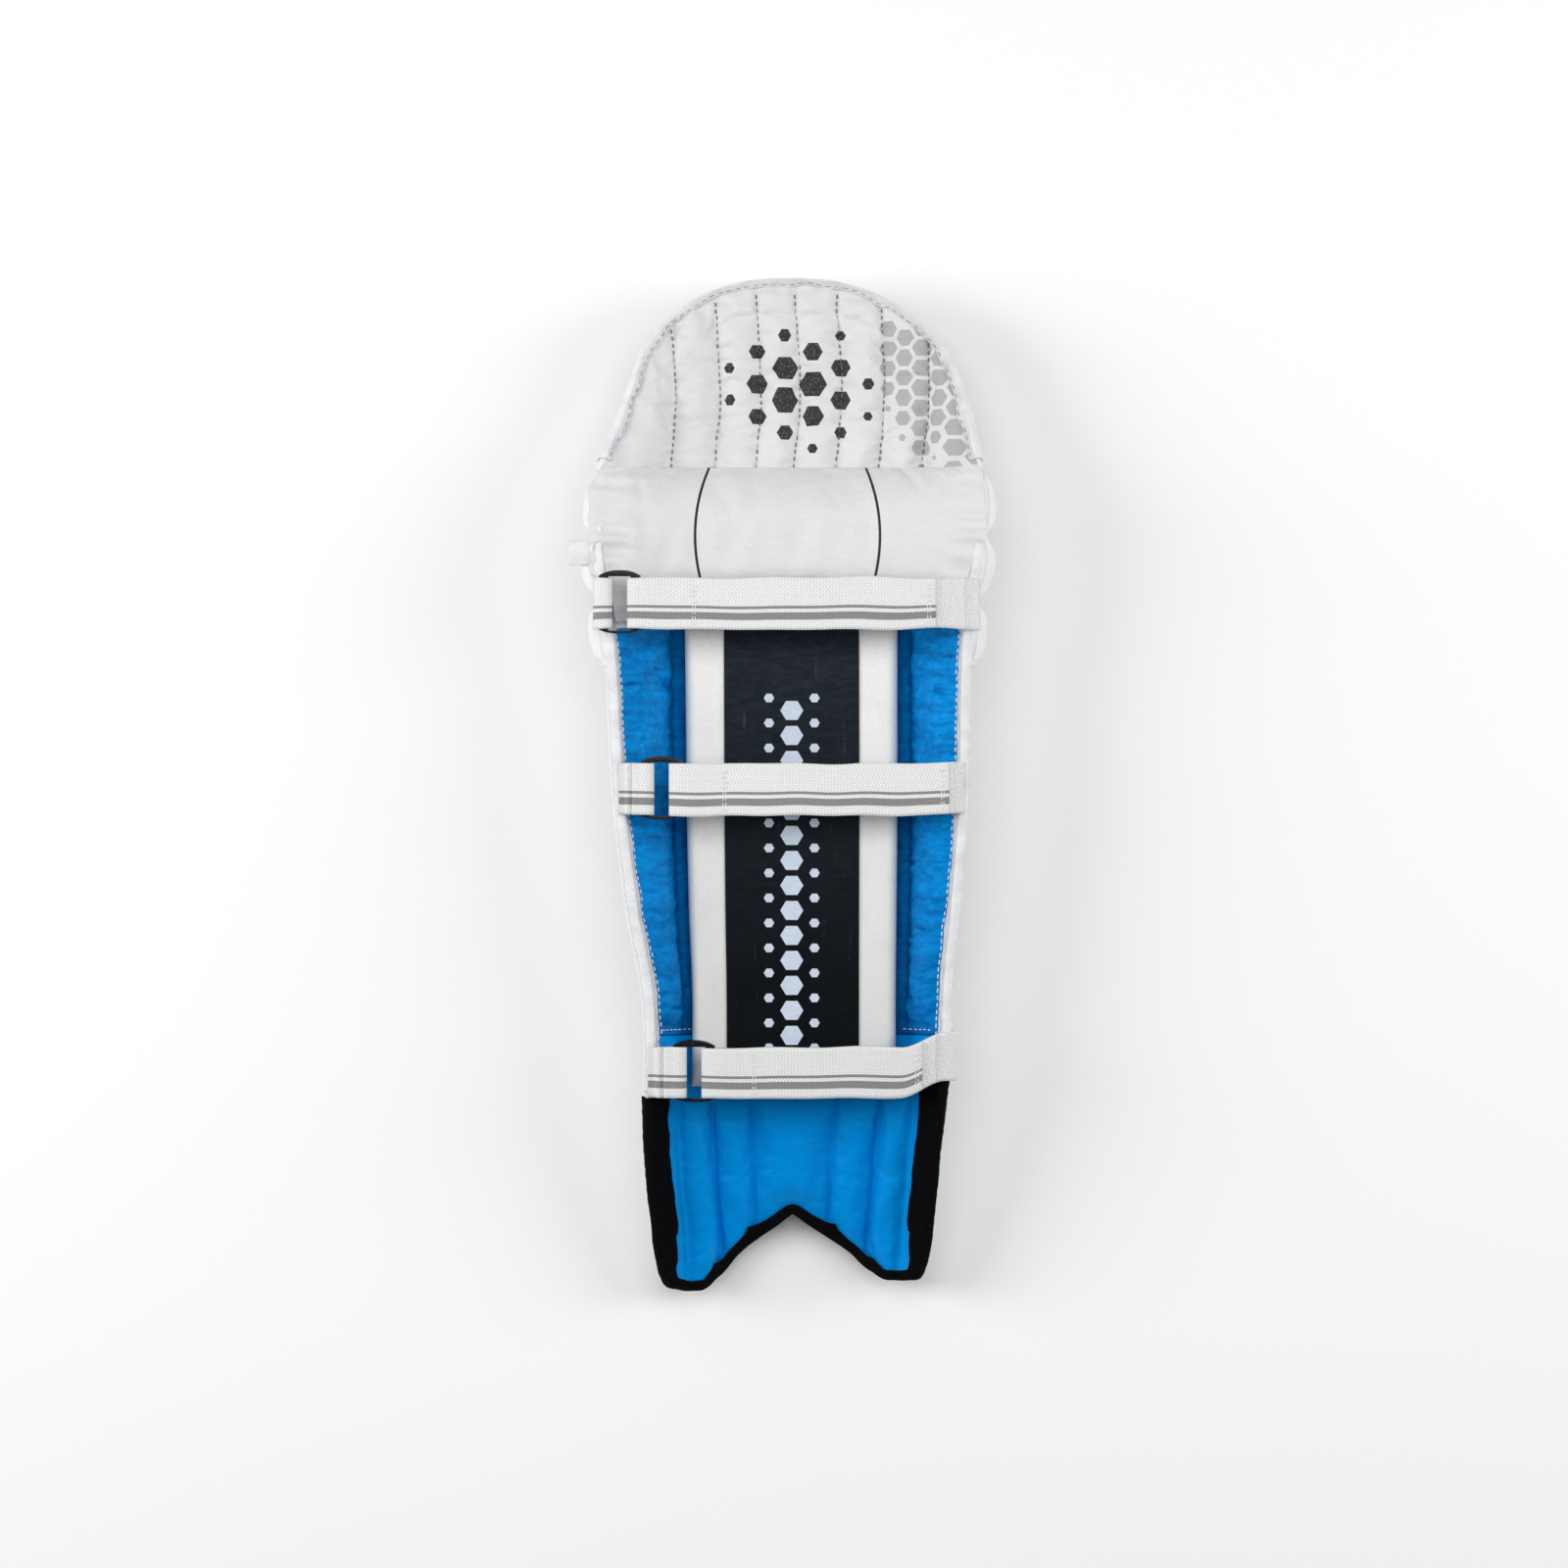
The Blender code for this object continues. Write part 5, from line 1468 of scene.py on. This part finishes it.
def rounded_path(path, step=0.0014):
    """The path with its corners cut, and points at even steps along it."""
    path = np.array(path, float)
    for _ in range(2):
        quarter, most = 0.75 * path[:-1] + 0.25 * path[1:], 0.25 * path[:-1] + 0.75 * path[1:]
        cut = np.stack([quarter, most], axis=1).reshape(-1, 2)
        path = np.concatenate([path[:1], cut, path[-1:]])
    travel = travel_along(path)
    at = np.linspace(0, travel[-1], max(6, round(travel[-1] / step)))
    return np.stack([np.interp(at, travel, path[:, k]) for k in range(2)], axis=-1), at


def strap_surface(strap, xz, across_share):
    """Points of the strap at places along it and shares of its half width."""
    tilt = math.atan(strap_tilt(strap))
    up = climb(strap, xz[..., 0]) + across_share * STRAP_WIDTH / 2
    up = up + 0.0005 * waves(xz[..., 0], 0.3 * across_share * STRAP_WIDTH, 0.05, 110 + len(strap.name))
    y = strap_y(strap) + up * math.cos(tilt)
    return np.stack([xz[..., 0], y, xz[..., 1] + up * math.sin(tilt)], axis=-1)


def make_strap_piece(strap, part, path, thickness, finish, slot):
    xz, travel = rounded_path(path)
    share = np.linspace(-1, 1, 15)[None, :]
    points = strap_surface(strap, np.repeat(xz[:, None, :], share.size, axis=1), share)
    flat = flat_map(travel[:, None], share * STRAP_WIDTH / 2)
    name = f"{strap.name}_{part}"
    return sheet(f"{name}_cloth", points, flat, thickness, finish, slot, name)


def make_band(strap):
    """The striped band. Its lower layer is plain loop pile from the pad's edge to past the free
    end, where the band closes onto it."""
    band = make_strap_piece(strap, "band", band_path(strap), STRAP_THICKNESS, ELASTIC, "elastic")
    band.data.materials.append(PILE)
    plain_from = strap_x(strap, strap.free_end) - PATCH_OVERLAP
    bar_x = bar_place(strap, 1)[0]
    lower = True
    for face in band.data.polygons:
        lower = lower and face.center.x > bar_x
        face.material_index = int(lower and face.center.x > plain_from)


def make_strap_stitches():
    lines = []
    for strap in STRAPS:
        for row in strap.rows:
            for shift in (-0.0008, 0.0008):
                x = np.full(30, float(strap_x(strap, row)) + shift)
                share = np.linspace(-0.93, 0.93, 30)
                z = upper_layer(strap, x) + STRAP_THICKNESS / 2 + 0.0002
                lines.append(strap_surface(strap, np.stack([x, z], axis=-1), share))
    stitches("strap_stitches", lines, WHITE_THREAD, "elastic", length=0.002, gap=0.0012, width=0.0006)


def ring_outline(half_width, top, bottom, crown):
    """A closed outline with straight sides and bowed ends."""
    return [
        (side * half_width * share, side * (reach - crown * (reach - bottom * 0.7) * abs(share) ** 2.5))
        for side, reach in ((1, top), (-1, bottom))
        for share in np.linspace(1, -1, 25)
    ]


def make_ring(strap):
    window = STRAP_WIDTH / 2 + RING_CLEAR
    outer = ring_outline(RING_WIDTH / 2, window + RING_TOP_CAP, window + RING_BOTTOM_CAP, 0.45)
    inner = ring_outline(RING_WIDTH / 2 - RING_BAR, window, window, 0.0)
    half = RING_THICKNESS / 2
    count = len(outer)
    levels = ((outer, half), (inner, half), (inner, -half), (outer, -half))
    points = [(x, y, z) for outline, z in levels for x, y in outline]
    faces = [
        (level * count + k, level * count + (k + 1) % count,
         (level + 1) % 4 * count + (k + 1) % count, (level + 1) % 4 * count + k)
        for level in range(4)
        for k in range(count)
    ]
    mesh = new_mesh(f"{strap.name}_ring_moulding", points, faces, np.array(points)[:, :2])
    welded = bmesh.new()
    welded.from_mesh(mesh)
    bmesh.ops.recalc_face_normals(welded, faces=welded.faces[:])
    welded.to_mesh(mesh)
    welded.free()
    ring = add_piece(mesh.name, mesh, RING_BLACK, "ring", f"{strap.name}_ring")
    (left_x, left_z), (right_x, right_z) = bar_place(strap, -1), bar_place(strap, 1)
    ring.location = ((left_x + right_x) / 2, strap_y(strap), (left_z + right_z) / 2)
    ring.rotation_mode = "YXZ"
    ring.rotation_euler.x = math.atan(strap_tilt(strap))
    ring.rotation_euler.y = -math.atan2(right_z - left_z, right_x - left_x)
    bevel = ring.modifiers.new("moulded_edges", "BEVEL")
    bevel.width = 0.0007
    bevel.segments = 3
    bevel.limit_method = "ANGLE"


def make_straps():
    for strap in STRAPS:
        make_band(strap)
        make_strap_piece(strap, "tab", tab_path(strap), STRAP_THICKNESS, ELASTIC, "elastic")
        make_strap_piece(strap, "patch", patch_path(strap), PATCH_THICKNESS, PILE, "pile")
        make_ring(strap)
    make_strap_stitches()


def make_label():
    """A small blank cloth tab sewn on the end of the middle knee roll."""
    y = KNEE_TOP_Y - LABEL_DOWN * KNEE_HEIGHT
    at = edge(y, -1.0) - LABEL_CLEAR - LABEL_THICKNESS / 2
    depth = LABEL_OUT + LABEL_LENGTH / 2 * np.linspace(1, -1, 22)[None, :]
    along = np.linspace(-1, 1, 18)[:, None] * LABEL_WIDTH / 2
    curl = 0.0005 * lens(depth / LABEL_LENGTH - 0.2) + 0.0003 * waves(depth, along, 0.01, 120)
    points = bend(at - curl, y, -depth)
    points[..., 1] += along
    flat = flat_map(depth, along)
    sheet("edge_label_cloth", points, flat, LABEL_THICKNESS, TAPE, "white_tape", "edge_label")


# Stage


def add_area(name, place, aim, size, power):
    light = bpy.data.lights.new(name, "AREA")
    light.shape = "RECTANGLE"
    light.size, light.size_y = size
    light.energy = power
    lamp = bpy.data.objects.new(name, light)
    lamp.location = place
    lamp.rotation_euler = (Vector(aim) - Vector(place)).to_track_quat("-Z", "Y").to_euler()
    bpy.context.scene.collection.objects.link(lamp)


def make_stage():
    mesh = bpy.data.meshes.new("floor")
    mesh.from_pydata([(-6, -6, 0), (6, -6, 0), (6, 6, 0), (-6, 6, 0)], [], [(0, 1, 2, 3)])
    floor = bpy.data.objects.new("floor", mesh)
    bpy.context.scene.collection.objects.link(floor)
    paper = bpy.data.materials.new("pale_floor")
    paper.use_nodes = True
    shader = paper.node_tree.nodes["Principled BSDF"]
    shader.inputs["Base Color"].default_value = (FLOOR_GREY, FLOOR_GREY, FLOOR_GREY, 1.0)
    shader.inputs["Roughness"].default_value = 0.9
    mesh.materials.append(paper)

    world = bpy.context.scene.world or bpy.data.worlds.new("studio")
    bpy.context.scene.world = world
    world.use_nodes = True
    backdrop = world.node_tree.nodes["Background"]
    backdrop.inputs["Color"].default_value = (0.97, 0.985, 1.0, 1.0)
    backdrop.inputs["Strength"].default_value = BACKDROP_STRENGTH

    add_area("overhead_softbox", (0.0, 0.55, 2.2), (0, 0, 0), (1.6, 1.2), 18.5)
    add_area("left_softbox", (-1.9, 0.3, 1.25), (0, 0, 0.05), (0.9, 1.6), 33)
    add_area("right_softbox", (1.9, 0.3, 1.25), (0, 0, 0.05), (0.9, 1.6), 24)

    lens_data = bpy.data.cameras.new("camera")
    lens_data.sensor_width = CAMERA_SENSOR_MM
    distance = CAMERA_HEIGHT - CAMERA_AIM_HEIGHT
    lens_data.lens = CAMERA_SENSOR_MM * distance / (PHOTO_PIXEL * PHOTO_PIXELS)
    camera = bpy.data.objects.new("camera", lens_data)
    camera.location = (-PHOTO_PIXEL, 1.5 * PHOTO_PIXEL, CAMERA_HEIGHT)
    bpy.context.scene.collection.objects.link(camera)
    bpy.context.scene.camera = camera
    bpy.context.scene.view_settings.view_transform = "Standard"


make_stage()
make_front_face()
make_shin_lining()
make_instep_lining()
make_shin_bolster()
make_knee_bolster()
for roll_number, roll_name in enumerate(("knee_roll_lower", "knee_roll_middle", "knee_roll_upper")):
    make_knee_roll(roll_name, roll_number)
make_top_hat()
make_side_bindings()
make_top_hat_binding()
make_instep_binding()
make_straps()
make_label()
